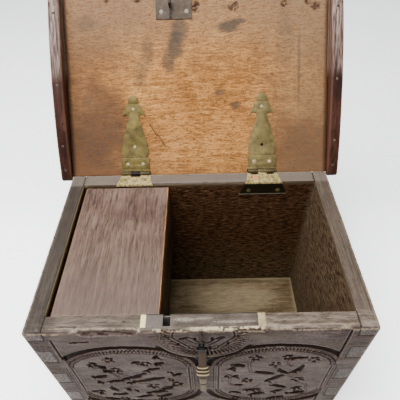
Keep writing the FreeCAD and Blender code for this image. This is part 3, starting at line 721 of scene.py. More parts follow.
def drop_brass():
    """The flat drop: bronzed, dark at its head, with painted shade down its sides and pale rib crests that
    are painted highlights along with rubbed wear.
    """
    p = Paint("drop_brass")
    grainy = p.noise(p.place, 0.8, 4, 0.65)
    # painted shade: the flat drop is painted dark down its sides and lighter in the middle, so it reads as
    # round
    side_shade = p.span(p.absolute(p.minus(p.x, 1.0)), 4.0, 2.2)
    base = p.mix(side_shade, (0.0035, 0.0022, 0.0012), p.mix(grainy, (0.011, 0.0044, 0.0012),
                                                        (0.034, 0.0155, 0.0052)))
    base = p.mix(p.span(p.z, 157.5, 155.0), base, p.mix(grainy, (0.009, 0.0052, 0.0016),
                                                        (0.031, 0.0195, 0.0066)))
    base = p.mix(p.span(p.z, 127.5, 126.0), base, p.mix(grainy, (0.040, 0.026, 0.015), (0.115, 0.084, 0.054)))
    for low, high in ((111.6, 114.6), (88.0, 94.5)):
        band = p.between(p.z, (low - 0.5, low + 0.3), (high + 0.5, high - 0.3))
        base = p.mix(band, base, (0.012, 0.007, 0.004))
    base = p.mix(p.span(p.z, 184.0, 193.0), base, (0.0022, 0.0014, 0.0010))
    # painted highlight: the thickest rib crests, tagged worn, are painted pale for the light catching them,
    # along with rubbed wear
    rubbed = p.times(p.tagged("worn"), p.span(p.noise(p.place, 2.5, 3), 0.25, 0.5, 0.5, 1.0))
    base = p.mix(rubbed, base, (0.21, 0.155, 0.088))
    return p.finish(base, grainy, 0.12, p.span(grainy, 0.3, 0.7, 0.4, 0.6), 0.7,
                    Metallic=p.span(rubbed, 0.0, 1.0, 0.0, 0.25), Specular_IOR_Level=0.02)


def pale_floor():
    p = Paint("pale_floor")
    cloud = p.noise(p.place, 160.0, 3)
    base = p.mix(cloud, (0.79, 0.80, 0.80), (0.82, 0.83, 0.83))
    p.put(p.shader.inputs["Emission Color"], (0.93, 0.97, 0.97))
    # painted light: the floor glows brighter beside the box, filling in the box's shadows there
    shadow_fill = p.times(p.span(p.absolute(p.x), 130.0, 300.0), p.span(p.absolute(p.y), 330.0, 120.0))
    p.put(p.shader.inputs["Emission Strength"], p.span(shadow_fill, 0.0, 1.0, 0.75, 1.35))
    return p.finish(base, cloud, 0.05, 0.7, 0.2)


# ---- scene

def set_camera():
    data = bpy.data.cameras.new("camera")
    data.sensor_width, data.lens = 36.0, 34.86
    data.clip_start, data.clip_end = 0.01, 50.0
    camera = bpy.data.objects.new("camera", data)
    camera.location = (0.0054, -0.2475, 0.5146)
    camera.rotation_euler = (0.7809, 0.0220, -0.0075)
    bpy.context.scene.collection.objects.link(camera)
    bpy.context.scene.camera = camera


def area_light(name, at, towards, size, watts):
    data = bpy.data.lights.new(name, "AREA")
    data.shape, data.size, data.size_y = "RECTANGLE", *size
    data.energy = watts
    light = bpy.data.objects.new(name, data)
    light.location = at
    light.rotation_euler = (Vector(towards) - Vector(at)).to_track_quat("-Z", "Y").to_euler()
    bpy.context.scene.collection.objects.link(light)


def set_light():
    world = bpy.data.worlds.new("studio")
    world.use_nodes = True
    glow = world.node_tree.nodes["Background"]
    glow.inputs["Color"].default_value = (0.94, 0.97, 1.0, 1.0)
    glow.inputs["Strength"].default_value = 0.5
    bpy.context.scene.world = world
    middle = (0.0, 0.0, 0.2)
    area_light("overhead", (-0.35, -0.30, 1.5), middle, (1.4, 1.1), 85.0)
    area_light("front", (0.5, -1.4, 1.0), middle, (1.2, 0.9), 5.0)
    area_light("left", (-1.3, -0.2, 1.1), middle, (0.8, 1.0), 18.0)


def set_floor():
    low, high = -3000.0, 3000.0
    points, faces = shell(np.linspace(low, high, 13), np.linspace(low, high, 13), np.array([-8.0, -0.2]))
    floor = make("floor", points, [tuple(f) for f in faces.tolist()])
    floor.data.materials.append(pale_floor())


# ---- the carving

class Relief:
    """Depth of cut below a face, in millimetres, on a regular grid over the face."""

    def __init__(self, u0, u1, v0, v1, step):
        self.step, self.u0, self.v0 = step, u0, v0
        self.u, self.v = np.meshgrid(np.arange(u0, u1 + step, step), np.arange(v0, v1 + step, step),
                                     indexing="ij")
        self.depth = np.zeros(self.u.shape)

    def near(self, u, v, reach):
        """The part of the grid round a point."""
        i, j = int((u - self.u0) / self.step), int((v - self.v0) / self.step)
        n = int(reach / self.step) + 2
        return (slice(max(0, i - n), max(0, i + n)), slice(max(0, j - n), max(0, j + n)))

    def gouge(self, a, b, wide_a, wide_b, deep, bow=0.0, belly=0.0):
        """A tapered scoop from a to b, bowed sideways and wider at its middle."""
        a, b = np.array(a, float), np.array(b, float)
        middle, reach = (a + b) / 2, np.linalg.norm(b - a) / 2 + max(wide_a, wide_b) + abs(bow) + 1
        part = self.near(*middle, reach)
        u, v = self.u[part], self.v[part]
        way = b - a
        length = max(np.linalg.norm(way), 1e-6)
        t = np.clip(((u - a[0]) * way[0] + (v - a[1]) * way[1]) / length ** 2, 0, 1)
        side = np.array([-way[1], way[0]]) / length * bow
        curve = 4 * t * (1 - t)
        gap = np.hypot(u - a[0] - way[0] * t - side[0] * curve, v - a[1] - way[1] * t - side[1] * curve)
        wide = (wide_a + (wide_b - wide_a) * t) / 2 * (1 + belly * (curve - 0.5))
        cut = deep * np.clip(1 - (gap / wide) ** 2, 0, 1) ** 0.75
        self.depth[part] = np.maximum(self.depth[part], cut)

    def groove(self, gap, wide, deep, where=True):
        """A round-bottomed groove where the distance field gap is near 0."""
        cut = deep * np.clip(1 - (2 * gap / wide) ** 2, 0, 1) ** 0.75 * where
        self.depth = np.maximum(self.depth, cut)

    def at(self, u, v, values=None):
        """The depth at any points."""
        values = self.depth if values is None else values
        a = np.clip((u - self.u0) / self.step, 0, values.shape[0] - 1.001)
        b = np.clip((v - self.v0) / self.step, 0, values.shape[1] - 1.001)
        i, j = a.astype(int), b.astype(int)
        a, b = a - i, b - j
        return ((values[i, j] * (1 - a) + values[i + 1, j] * a) * (1 - b)
                + (values[i, j + 1] * (1 - a) + values[i + 1, j + 1] * a) * b)


ARCHES = ((-69.5, 59.0), (71.0, 57.0))  # middle and half width of each panel's arch
ARCH_RISE, SPRING = 37.0, 30.0  # rise, and height of the springing above the panels' middle
PANEL_MID = 105.0
ROUNDEL, ROUNDEL_R = (2.5, 199.0), 42.0

# leaves: start, end and width on the face, measured from the middle of the front and down from the rim
LEAVES = [
    (-106, -62, -102, -66, 6), (-110, -69, -106, -72, 4), (-99, -70, -95, -76, 6), (-97, -86, -91, -83, 6),
    (-66, -66, -60, -62, 5), (-44, -71, -39, -66, 6), (-45, -57, -41, -49, 5), (-57, -85, -43, -79, 6),
    (-81, -105, -58, -91, 6), (-110, -101, -97, -95, 6), (-107, -115, -104, -113, 7),
          (-99, -112, -83, -109, 6),
    (-70, -113, -41, -102, 7), (-78, -118, -72, -115, 5), (-28, -98, -22, -92, 5), (-34, -91, -30, -88, 3),
    (-45, -138, -32, -127, 7), (-96, -124, -94, -137, 6), (-82, -131, -79, -138, 4),
          (-73, -134, -71, -142, 4),
    (-120, -136, -116, -140, 5), (-112, -135, -107, -138, 5), (-113, -146, -110, -142, 5),
          (-60, -147, -40, -142, 6),
    (-98, -150, -84, -146, 6), (-76, -158, -58, -152, 6), (-50, -158, -36, -150, 6),
          (-108, -157, -96, -162, 5),
    (29, -73, 40, -76, 7), (26, -84, 31, -82, 6), (86, -62, 98, -58, 6), (53, -92, 70, -95, 7),
          (76, -83, 85, -96, 5),
    (86, -96, 98, -77, 6), (66, -117, 81, -101, 6), (23, -100, 27, -105, 4), (30, -103, 35, -100, 5),
    (35, -128, 40, -124, 5), (72, -128, 86, -134, 7), (75, -148, 84, -142, 6), (45, -140, 60, -136, 6),
    (30, -144, 40, -150, 5), (94, -138, 104, -134, 5), (92, -156, 108, -148, 6), (50, -156, 66, -152, 6),
    (70, -168, 88, -162, 5), (-84, -170, -66, -168, 5),
]
FLOWERS = [
    (-88, -57, 5.4), (-105, -68, 4.6), (-84, -81, 5.2), (-54, -67, 5.0), (-27, -120, 5.2), (-52, -125, 6.0),
    (-88, -161, 5.0), (-32, -108, 3.4), (51, -57, 5.6), (81, -57, 5.4), (106, -63, 5.4), (71, -73, 5.2),
    (98, -112, 6.0), (46, -113, 5.6), (60, -146, 5.0), (102, -143, 4.6), (-45, -165, 4.2), (36, -164, 4.2),
]
STEMS = [
    (-104, -73, -84, -104, 5), (-84, -86, -62, -96, -4), (-54, -72, -50, -82, 2), (-100, -113, -74, -104, -3),
    (-66, -116, -54, -120, 2), (-92, -139, -70, -124, 4), (-36, -124, -40, -130, -2),
         (-76, -122, -80, -131, 2),
    (48, -62, 49, -92, -2), (71, -79, 77, -92, 2), (84, -63, 88, -78, -3), (98, -119, 109, -136, 5),
    (29, -104, 34, -126, -3), (109, -136, 104, -158, 5), (60, -118, 47, -136, 4), (82, -101, 92, -108, 2),
]


def arch_gap(u, v, arch):
    """Distance from a panel's arched outline, positive outside it."""
    middle, half = arch
    a, b = (u - middle) / half, np.maximum(np.abs(v - PANEL_MID) - SPRING, 0) / ARCH_RISE
    r = np.maximum(np.hypot(a, b), 1e-6)
    slope = np.maximum(np.hypot(a / half, b / ARCH_RISE) / r, 1e-6)
    return (r - 1) / slope


def arch_run(u, v, arch):
    """Length along an arch, near enough to space its beads evenly."""
    middle, half = arch
    turn = np.arctan2((np.abs(v - PANEL_MID) - SPRING) / ARCH_RISE, (u - middle) / half)
    return turn * 49.0


def carve_arches(cut):
    u, v = cut.u, cut.v
    arched = fade(np.abs(v - PANEL_MID), SPRING - 1.0, SPRING + 3.0)
    within = (np.abs(u) < 128.0) & (np.hypot(u - ROUNDEL[0], v - ROUNDEL[1]) > ROUNDEL_R + 1.0)
    for arch in ARCHES:
        gap = arch_gap(u, v, arch)
        inner = fade(-gap, 4.0, 5.6) * 0.7
        cut.depth = np.maximum(cut.depth, inner)
        cut.groove(gap - 7.8, 8.0, 3.1, arched * within)
        cut.groove(gap + 4.4, 1.9, 1.7, arched)
        beads = np.abs((((arch_run(u, v, arch) + np.where(gap > 0, 1.4, 0.0)) / 2.9) % 1.0) - 0.5) * 2.9
        cut.groove(beads, 2.0, 1.9, arched * fade(-np.abs(gap), -3.2, -2.6) * within)
        cut.groove(gap, 1.3, 1.7, arched * within)
        cut.groove(np.abs(gap) - 3.2, 0.9, 0.8, arched * within)
        plain = (1 - arched) * (np.abs(gap) < 6)
        cut.groove(gap - 2.6, 1.3, 1.1, plain)
        cut.groove(gap - 0.2, 1.0, 0.9, plain)
        cut.groove(gap + 2.4, 1.6, 1.5, plain)


def carve_roundel(cut):
    u, v = cut.u - ROUNDEL[0], cut.v - ROUNDEL[1]
    r, turn = np.hypot(u, v), np.arctan2(v, u)
    cut.groove(r - ROUNDEL_R - 2.5, 5.0, 2.6, fade(RIM - cut.v, 22.0, 34.0))
    cut.groove(r - ROUNDEL_R + 3.2, 1.2, 1.0)
    lean = np.where(u < 0, 0.45, 0.05)
    strokes = np.abs((((turn + lean * (r - 33) / 33) * 33 / 3.6) % 1.0) - 0.5) * 3.6
    cut.groove(strokes, 2.5, 2.8, fade(-np.abs(r - 33.0), -5.0, -4.0))
    cut.groove(r - 26.6, 1.8, 1.8)
    cut.depth = np.where(r < 25.6, np.maximum(cut.depth, 0.6), cut.depth)
    for x0, z0, x1, z1 in ((-26, -13, -12, -32), (31, -13, 17, -32), (-12, -13, 0, -26), (18, -13, 6, -26),
                           (-9, -30, -2, -36),
                           (14, -30, 7, -36)):
        a, b = np.array([x0, z0 + RIM]), np.array([x1, z1 + RIM])
        t = np.clip(((cut.u - a[0]) * (b - a)[0] + (cut.v - a[1]) * (b - a)[1]) / ((b - a) @ (b - a)), 0, 1)
        gap = np.hypot(cut.u - a[0] - (b - a)[0] * t, cut.v - a[1] - (b - a)[1] * t)
        cut.groove(gap - 1.9, 1.7, 1.6, r < 31)
        cut.depth = np.where(r < 31, np.minimum(cut.depth, 0.25 + np.clip(1.3 * (gap - 0.5), 0, 9)),
                             cut.depth)
    for x, z in ((-15, -15), (17, -15)):
        cut.gouge((x - 2.5, z + RIM), (x + 2.5, z + RIM + 2), 5.0, 5.0, 1.6)
    for x, z in ((-5, -16), (10, -16), (-20, -25), (24, -25), (-2, -33), (8, -33)):
        cut.gouge((x, z + RIM - 1.6), (x, z + RIM + 1.6), 3.6, 3.6, 2.5)


def carve_panels(cut):
    dice = random.Random(7)
    for x0, z0, x1, z1, wide in LEAVES:
        bow = dice.uniform(-0.16, 0.16) * math.hypot(x1 - x0, z1 - z0)
        cut.gouge((x0, z0 + RIM), (x1, z1 + RIM), wide, wide * 1.45, 3.1, bow, 0.5)
        turn = math.atan2(z1 - z0, x1 - x0) + dice.choice((-1, 1)) * dice.uniform(0.6, 1.3)
        reach = dice.uniform(4.0, 7.5)
        cut.gouge((x0, z0 + RIM), (x0 + reach * math.cos(turn), z0 + RIM + reach * math.sin(turn)), 1.8,
                  wide * 0.9, 2.4, 1.0, 0.4)
    for x, z, size in FLOWERS:
        petals, start = dice.choice((5, 6)), dice.uniform(0, 6.28)
        for i in range(petals):
            turn = start + i * 2 * math.pi / petals + dice.uniform(-0.15, 0.15)
            near, far = size * 0.62, size * dice.uniform(0.78, 0.95)
            way = np.array([math.cos(turn), math.sin(turn)])
            centre = np.array([x, z + RIM])
            cut.gouge(centre + way * near, centre + way * far, size * 0.8, size * 0.95, 3.0)
    for x0, z0, x1, z1, bow in STEMS:
        for side in (-0.9, 0.9):
            cut.gouge((x0 + side * 1.2, z0 + RIM), (x1 + side * 1.2, z1 + RIM), 1.4, 1.6, 1.6, bow)


def edge_loss(x):
    """How far the front board's top arris is worn or broken back, and how far down."""
    wander = rough(flat(x, x * 0), 9.0, 11)
    fine = rough(flat(x, x * 0), 2.6, 12)
    back, down = 0.9 + 0.45 * wander, 3.0 + 1.2 * wander
    for start, end, deep, tall in ((-103, -53, 2.6, 3.4), (-50, -8, 1.0, 2.2), (5, 58, 1.3, 2.6),
                                   (76, 118, 0.9, 1.4),
                                   (-149, -108, 0.9, 3.6), (126, 149, 1.0, 3.0)):
        share = fade(x, start - 1.5, start + 3) * fade(-x, -end - 1.5, -end + 4)
        back, down = back + share * (deep + 0.5 * fine), down + share * (tall + 0.8 * wander)
    return np.maximum(back, 0.25), np.maximum(down, 1.0)


def carve_front(step):
    """The whole carved face."""
    cut = Relief(CAR_LOW[0], CAR_HIGH[0], 0.0, RIM, step)
    carve_arches(cut)
    carve_roundel(cut)
    plain = cut.u, cut.v
    cut.u, cut.v = [way + 1.1 * noise(flat(*plain), 5.0, seed) for way, seed in zip(plain, (31, 32))]
    carve_panels(cut)
    cut.u, cut.v = plain
    for x, top, low in ((-129.2, -13, -54), (127.2, -4, -46), (-129.2, -158, -205), (127.2, -160, -205)):
        cut.gouge((x, top + RIM), (x, low + RIM), 2.0, 2.6, 2.4)
    cut.gouge((-113, RIM - 19), (-98, RIM - 18), 4.2, 3.2, 2.4)
    cut.gouge((-98, RIM - 16.5), (-88, RIM - 16), 1.6, 1.2, 1.2)
    cut.gouge((-44, RIM - 8.5), (-10, RIM - 8), 0.8, 1.2, 1.2)
    cut.gouge((-128, RIM - 15), (-104, RIM - 14), 1.0, 1.6, 1.0)
    cut.gouge((-116, RIM - 9.5), (-88, RIM - 11), 0.8, 1.3, 1.0)
    ground = 0.32 + 0.14 * rough(flat(cut.u, cut.v), (26.0, 7.0, 9.0),
                                 3) + 0.07 * noise(flat(cut.u, cut.v), (6.0, 1.2, 3.0), 8)
    cut.ground = ground + 0.5 * fade(-np.minimum(arch_gap(cut.u, cut.v, ARCHES[0]),
                                                 arch_gap(cut.u, cut.v, ARCHES[1])), 4.0, 5.6)
    total = np.maximum(cut.depth * (1 + 0.12 * noise(flat(cut.u, cut.v), 5.0, 21)), ground)
    back, down = edge_loss(cut.u[:, 0])
    t = np.clip((RIM - cut.v) / down[:, None], 0, 1)
    sharp = np.where((cut.u[:, :1] > -104) & (cut.u[:, :1] < -53), 0.45, 1.3)
    broken = back[:, None] * np.clip(1 - t, 0, 1) ** sharp
    cut.broken = fade(broken, 0.2, 1.2)
    cut.depth = np.clip(np.maximum(total, broken + 0.3 * (t < 1)), 0.05, 3.6)
    return cut


def seam_gap(across, up, half):
    """Distance from the joint lines on a face: across runs along the face, and half is where its pins end."""
    best = np.full(np.shape(across), 99.0)
    edge = np.abs(across) - half
    for low, high in PIN_BANDS:
        beyond = np.maximum(np.maximum(low - up, up - high), 0)
        best = np.minimum(best, np.hypot(edge, beyond))
        for line in (low, high):
            if 1 < line < RIM - 1:
                best = np.minimum(best, np.hypot(up - line, np.maximum(-edge, 0)))
    return best


def seam(across, up, half):
    """The open joint between boards: 1 in it and 0 clear of it."""
    wander = 0.75 + 0.35 * noise(flat(across, up), 17.0, 5)
    return fade(-seam_gap(across, up, half), -0.75 * wander, -0.1)


def rim_relief(x, y):
    """Wear, cracks and nail holes on top of the rim."""
    p = flat(x, y)
    depth = 0.16 + 0.08 * rough(p, (14.0, 14.0, 9.0), 31) + 0.04 * noise(p, (9.0, 1.2, 3.0), 32)
    crack = np.abs(y + 93.4 + 1.0 * noise(p, (14.0, 99.0, 9.0), 33))
    depth = depth + 0.9 * fade(-crack, -0.7, -0.1) * fade(x, -137, -133) * fade(-x, 96, 101)
    for px, py, r, deep in ((-65, -89, 2.0, 0.9), (-106, -94, 1.3, 0.6), (103, -88, 0.9, 0.8),
                            (135.5, -88, 1.5, 1.2), (130, -94, 0.9, 0.5)):
        depth = depth + deep * fade(-np.hypot(x - px, y - py), -r, -0.4 * r)
    rim_seam = np.abs(np.abs(x) - SIDE_IN)
    return depth + 0.6 * fade(-rim_seam, -0.7, -0.1) * (np.abs(y) > BACK_IN - 0.5)


def carcass_skin(name, cut, xs, ys, zs):
    """The carcass's outside as one closed worn surface; each board is the CAD board cut to it."""
    points, quads = shell(xs, ys, zs)
    radius = 1.1 + 0.6 * noise(points, 23.0, 41)
    round_box, out = eased_box(points, CAR_LOW, CAR_HIGH, radius)
    x, y, z = points.T
    deep = 0.10 + 0.05 * rough(points, (9.0, 12.0, 12.0), 43)
    on_sides = fade(np.abs(out[:, 0]), 0.5, 1.0)
    deep = deep + 0.55 * seam(y, z, BACK_IN) * on_sides
    deep = deep + 0.55 * seam(x, z, SIDE_IN) * fade(np.abs(out[:, 1]), 0.5, 1.0)
    round_box = round_box - out * deep[:, None]
    front = cut.at(x, z)
    pins = (np.abs(x) > SIDE_IN)
    front = np.where(pins, np.minimum(front, 0.3 + 2.0 * cut.at(x, z, cut.broken)), front)
    round_box[:, 1] += front * np.clip(1 - (y - CAR_LOW[1]) / 12, 0, 1)
    round_box[:, 2] -= rim_relief(x, y) * np.clip(1 - (RIM - z) / 12, 0, 1)
    return make(name, round_box, quads.tolist())


def cavity():
    """The inside of the carcass, with its worn upper arris, as a cutting tool."""
    points, quads = shell(stations(-SIDE_IN, SIDE_IN, 3.5), stations(-BACK_IN, BACK_IN, 3.0),
                          stations(-6.0, RIM + 4.0, 3.5, (RIM - 1.6,), 4.0, 0.5))
    x, y, z = points.T
    low = np.array([-SIDE_IN, -BACK_IN, -6.0])
    high = np.array([SIDE_IN, BACK_IN, RIM + 4.0])
    _, out = eased_box(points, low, high, 0.4)
    out[:, 2] = 0
    radius = 1.0 + 0.5 * noise(points, 12.0, 51) + 1.3 * fade(-x, SIDE_IN - 2, SIDE_IN)
    lip = fade(x, -66, -50) * fade(-x, -110, -30) * fade(y, BACK_IN - 2, BACK_IN)
    radius = radius + lip * (2.8 + 1.1 * noise(points, (7.0, 7.0, 3.0), 53))
    rise = np.clip((z - (RIM - radius)) / radius, 0, 1)
    flare = radius * (1 - np.sqrt(1 - rise ** 2))
    deep = 0.12 + 0.07 * rough(points, (22.0, 22.0, 6.0), 52) + flare
    return make("cavity", points + out * deep[:, None], quads.tolist())


def worn_arris(points, low, high, reach=2.6):
    """1 at the outer arrises of a box and 0 on its faces."""
    gap = np.minimum(points - low, high - points)
    gap = np.sort(gap, axis=1)
    return fade(-gap[:, 1], -reach, -0.25 * reach) * (gap[:, 0] < 3.0)


def build_carcass():
    cut = carve_front(0.5)
    bands = sorted({z for band in PIN_BANDS for z in band if 1 < z < RIM - 1})
    fine = carcass_skin("fine_skin", cut, stations(CAR_LOW[0], CAR_HIGH[0], 0.85),
                        stations(CAR_LOW[1], CAR_HIGH[1], 6.0, (-91.0, 91.0), 8.0, 1.1),
                        stations(0.0, RIM, 0.85, (RIM - 1.5,), 1.5, 0.4))
    plain = carcass_skin("plain_skin", cut, stations(CAR_LOW[0], CAR_HIGH[0], 2.4,
                                                     (-142.0, -SIDE_IN, SIDE_IN, 142.0), 8.0, 1.1),
                         stations(CAR_LOW[1], CAR_HIGH[1], 2.4, (-BACK_IN, BACK_IN)),
                         stations(0.0, RIM, 2.2, bands + [RIM - 1.5]))
    room = cavity()
    woods = {"front_board": carved_oak(), "back_board": board_oak("back_oak", 0, 13.0),
             "left_side": board_oak("left_oak", 1, 71.0), "right_side": board_oak("right_oak", 1, 29.0)}
    for node, wood in woods.items():
        board = cad_copy("worn_" + node, node)
        combine(board, fine if node == "front_board" else plain, "INTERSECT", True)
        combine(board, room, "DIFFERENCE", True)
        points = places(board)
        x, y, z = points.T
        on_face = fade(-y, *FACE_Y)
        face = on_face * (node == "front_board")
        depth = cut.at(x, z)
        hollow = np.clip((depth - cut.at(x, z, cut.ground) - 0.15) / 1.1, 0, 1) * face
        ridge = np.clip((cut.at(x, z, cut.ground) + 0.1 - depth) / 0.3, 0, 1)
        lip = np.clip((cut.at(x - 1.2, z - 1.2) + cut.at(x + 1.2, z + 1.2) - 2 * depth - 0.2) / 1.0, 0, 1)
        broken = cut.at(x, z, cut.broken) * on_face
        ledge = broken * fade(x, -102.0, -98.0) * fade(-x, 53.0, 56.0)
        chip = ledge * fade(RIM - z, 1.5, 2.8) * fade(noise(points, (5.0, 7.0, 1.5), 63), -0.5, 0.3)
        raised = np.maximum(ridge * 0.4, lip) * (hollow < 0.2) * face
        tag(board, "cut", (hollow - raised) * (1 - broken) + 0.5 * chip)
        arris = worn_arris(points, CAR_LOW, CAR_HIGH) * (1 - fade(broken, 0.3, 0.7))
        worn = np.maximum(arris, 4 * broken * (1 - broken) * (ledge < 0.05))
        worn = np.maximum(worn, ledge * (1 - fade(RIM - z, 1.0, 2.4)))
        tag(board, "worn", worn)
        seams = np.maximum(seam(x, z, SIDE_IN) * fade(np.abs(y), 97.0, 98.0),
                           seam(y, z, BACK_IN) * fade(np.abs(x), 148.0, 149.0))
        rim_line = fade(-np.abs(np.abs(x) - SIDE_IN), -0.8,
                        -0.2) * (np.abs(y) > BACK_IN) * fade(z, RIM - 2.5, RIM - 1.5)
        tag(board, "seam", np.maximum(seams, rim_line) * 0.9)
        if node == "front_board":
            smear = rough(flat(x, y), (9.0, 3.0, 9.0), 61) + 0.5 * noise(flat(x, y), 1.8, 62)
            zone = fade(x, -16.0, 8.0) * fade(-x, -58.0,
                                              -50.0) * fade(-y, 90.5, 92.5) * fade(z, RIM - 3.4, RIM - 1.2)
            left = fade(x, -56.0, -48.0) * fade(-x, 6.0,
                                                20.0) * fade(-y, 95.0, 97.0) * fade(z, RIM - 3.4, RIM - 1.6)
            tag(board, "filler", fade(smear + 0.9 * zone + 0.45 * left, 0.55,
                                      0.75) * np.maximum(zone, 0.7 * left))
        shade(board, 50.0)
        dress(board, wood, "carcass", "carved_oak" if node == "front_board" else "board_oak", node)
    for tool in (fine, plain, room):
        drop(tool)


def build_floor_board():
    eased("worn_bottom_board", "bottom_board", 0.5, floor_oak(), "carcass", "board_oak")


def build_till():
    wood, dark = till_oak(), till_wall_oak()
    low, high = box_mm("till_lid")
    low, high = low.copy(), high.copy()
    low[1], high[1] = -81.7, 80.3
    points, quads = shell(stations(low[0], high[0], 1.6), stations(low[1], high[1], 1.8),
                          stations(low[2], high[2], 1.3))
    radius = np.where(points[:, 0] > -60, 0.7, 0.8) + 0.35 * noise(points, 9.0, 71)
    round_box, out = eased_box(points, low, high, np.maximum(radius, 0.3))
    corner = fade(-np.hypot(points[:, 0] - high[0], points[:, 1] - low[1]), -7.0, -1.0)
    deep = 0.07 + 0.04 * rough(points, (5.0, 22.0, 5.0),
                               72) + 0.9 * corner * (0.6 + 0.4 * noise(points, 2.2, 73))
    board = make("worn_till_lid", round_box - out * deep[:, None], quads.tolist())
    full = cad_copy("till_lid_copy", "till_lid")
    combine(board, full, "INTERSECT", True)
    ends = cad_copy("till_lid_pintles", "till_lid")
    middle = make("till_lid_middle", *box_points(low - [9, 0.05, 9], high + [9, 0.05, 9]))
    combine(ends, middle, "DIFFERENCE")
    drop(full)
    tag(board, "worn", worn_arris(places(board), low, high, 1.8))
    tag(ends, "worn", np.zeros(len(ends.data.vertices)))
    both = join("worn_till_lid", [board, ends])
    shade(both, 45.0)
    dress(both, wood, "till_lid", "till_oak", "till_lid")
    for node in ("till_bottom", "till_side"):
        eased("worn_" + node, node, 0.4, dark, "carcass", "till_oak")


def box_points(low, high):
    points, quads = shell(np.array([low[0], high[0]]), np.array([low[1], high[1]]),
                          np.array([low[2], high[2]]))
    return points, quads.tolist()


def join(name, things):
    """Joins meshes into the first one."""
    with bpy.context.temp_override(active_object=things[0], selected_editable_objects=things,
                                   object=things[0]):
        bpy.ops.object.join()
    things[0].name = name
    return things[0]


def hang(thing):
    """Turns a piece that was made with the lid shut to the open rest pose."""
    centre = Matrix.Translation(Vector(HINGE * MM))
    thing.data.transform(centre @ Matrix.Rotation(LID_TURN, 4, "X") @ centre.inverted())
    return thing


def build_lid():
    panel = cad_copy("worn_lid_panel", "lid_panel", -LID_TURN)
    low = np.array([-CLEAT_OUT, HINGE[1] - CLEAT_FRONT, LID_UNDER])
    high = np.array([CLEAT_OUT, HINGE[1] + 2.5, LID_UNDER + LID_T])
    points, quads = shell(stations(low[0], high[0], 1.7), stations(low[1], high[1], 1.7),
                          stations(low[2], high[2], 1.5))
    radius = np.maximum(np.where(points[:, 2] > LID_UNDER + 7, 2.6, 0.9) + 0.9 * noise(points, 20.0, 81), 0.4)
    round_box, out = eased_box(points, low, high, radius)
    deep = 0.09 + 0.05 * rough(points, (22.0, 7.0, 7.0), 82)
    under = points[:, 2] < LID_UNDER + 0.1
    top = points[:, 2] > LID_UNDER + LID_T - 0.1
    deep = deep + 0.25 * top * (0.5 + 0.5 * rough(points, (60.0, 12.0, 9.0), 83))
    deep = deep + 1.3 * lid_marks(points[:, 0], HINGE[1] - points[:, 1]) * under
    skin = make("lid_skin", round_box - out * deep[:, None], quads.tolist())
    combine(panel, skin, "INTERSECT")
    points = places(panel)
    tag(panel, "worn", worn_arris(points, low, high, 3.2))
    tag(panel, "hole", lid_marks(points[:, 0], HINGE[1] - points[:, 1]) * (points[:, 2] < LID_UNDER + 3))
    shade(panel, 45.0)
    dress(hang(panel), lid_oak(), "lid", "lid_oak", "lid_panel")
    wood = cleat_oak()
    for side, node in ((-1, "left_cleat"), (1, "right_cleat")):
        cleat = make("worn_" + node, *cleat_shape(side))
        points = places(cleat)
        x, y, z = points.T
        inner = np.minimum(np.abs(np.abs(x) - CLEAT_IN), np.abs(np.abs(x) - CLEAT_OUT))
        tag(cleat, "worn", fade(-inner, -3.0, -0.6) * fade(-z, -LID_UNDER + 2, -LID_UNDER + 6))
        dress(hang(cleat), wood, "lid", "cleat_oak", node)


def lid_marks(x, s):
    """Old nail holes and worm-eaten nibbles under the lid."""
    total = np.zeros(np.shape(x))
    spots = [(-65, 195, 5.0, 2.0), (43, 186, 6.5, 4.0), (136, 185, 7.5, 4.5), (0.7, 187.5, 5.5, 7.0),
             (45, 190, 4.0, 2.4),
             (101, 188.5, 4.4, 4.2), (-101, 196, 3.2, 1.6), (127, 190, 3.6, 3.0)]
    nibble = noise(flat(x, s), 1.9, 91)
    for sx, ss, wide, tall in spots:
        away = np.hypot((x - sx) / wide, (s - ss) / tall)
        total = np.maximum(total, fade(-away, -1.15, -0.6) * fade(nibble, -0.55, 0.0))
    return total


def cleat_shape(side):
    """An end cleat: bowed below, rounded and worn, with its end behind the hinge line."""
    along = stations(CLEAT_BACK, CLEAT_FRONT, 2.0, (-5.5, 208.5), 1.5, 0.5)
    across = np.linspace(0, 1, 11)
    deep = np.linspace(0, 1, 12)
    points, quads = shell(across, along, deep)
    u, s, w = points.T
    bottom = cleat_bottom(s)
    x = CLEAT_IN + (CLEAT_OUT - CLEAT_IN) * u
    h = bottom * w
    # round every edge but those against the panel
    corner = 2.3 + 0.7 * noise(np.stack([x, s, h], 1), 17.0, 101)
    dx = np.maximum(np.abs(x - CLEAT_MID) - ((CLEAT_OUT - CLEAT_IN) / 2 - corner), 0)
    dh = np.maximum(h - (bottom - corner), 0)
    ds = np.maximum(np.maximum(CLEAT_BACK + corner - s, s - (CLEAT_FRONT - corner)), 0)
    size = np.sqrt(dx ** 2 + dh ** 2 + ds ** 2)
    shrink = np.where(size > corner, 1 - corner / np.maximum(size, 1e-9), 0)
    x = x - np.sign(x - CLEAT_MID) * dx * shrink
    h = h - dh * shrink
    s = s + np.where(s < 100, 1, -1) * ds * shrink
    wave = 0.10 + 0.09 * rough(np.stack([x, s, h], 1), (6.0, 30.0, 6.0), 102)
    x = x - np.sign(x - CLEAT_MID) * wave * (np.abs(x - CLEAT_MID) > 3)
    h = h - wave * (w > 0.5)
    place = np.stack([side * x, HINGE[1] - s, LID_UNDER - h], 1)
    quads = quads if side > 0 else quads[:, ::-1]
    return place, quads.tolist()


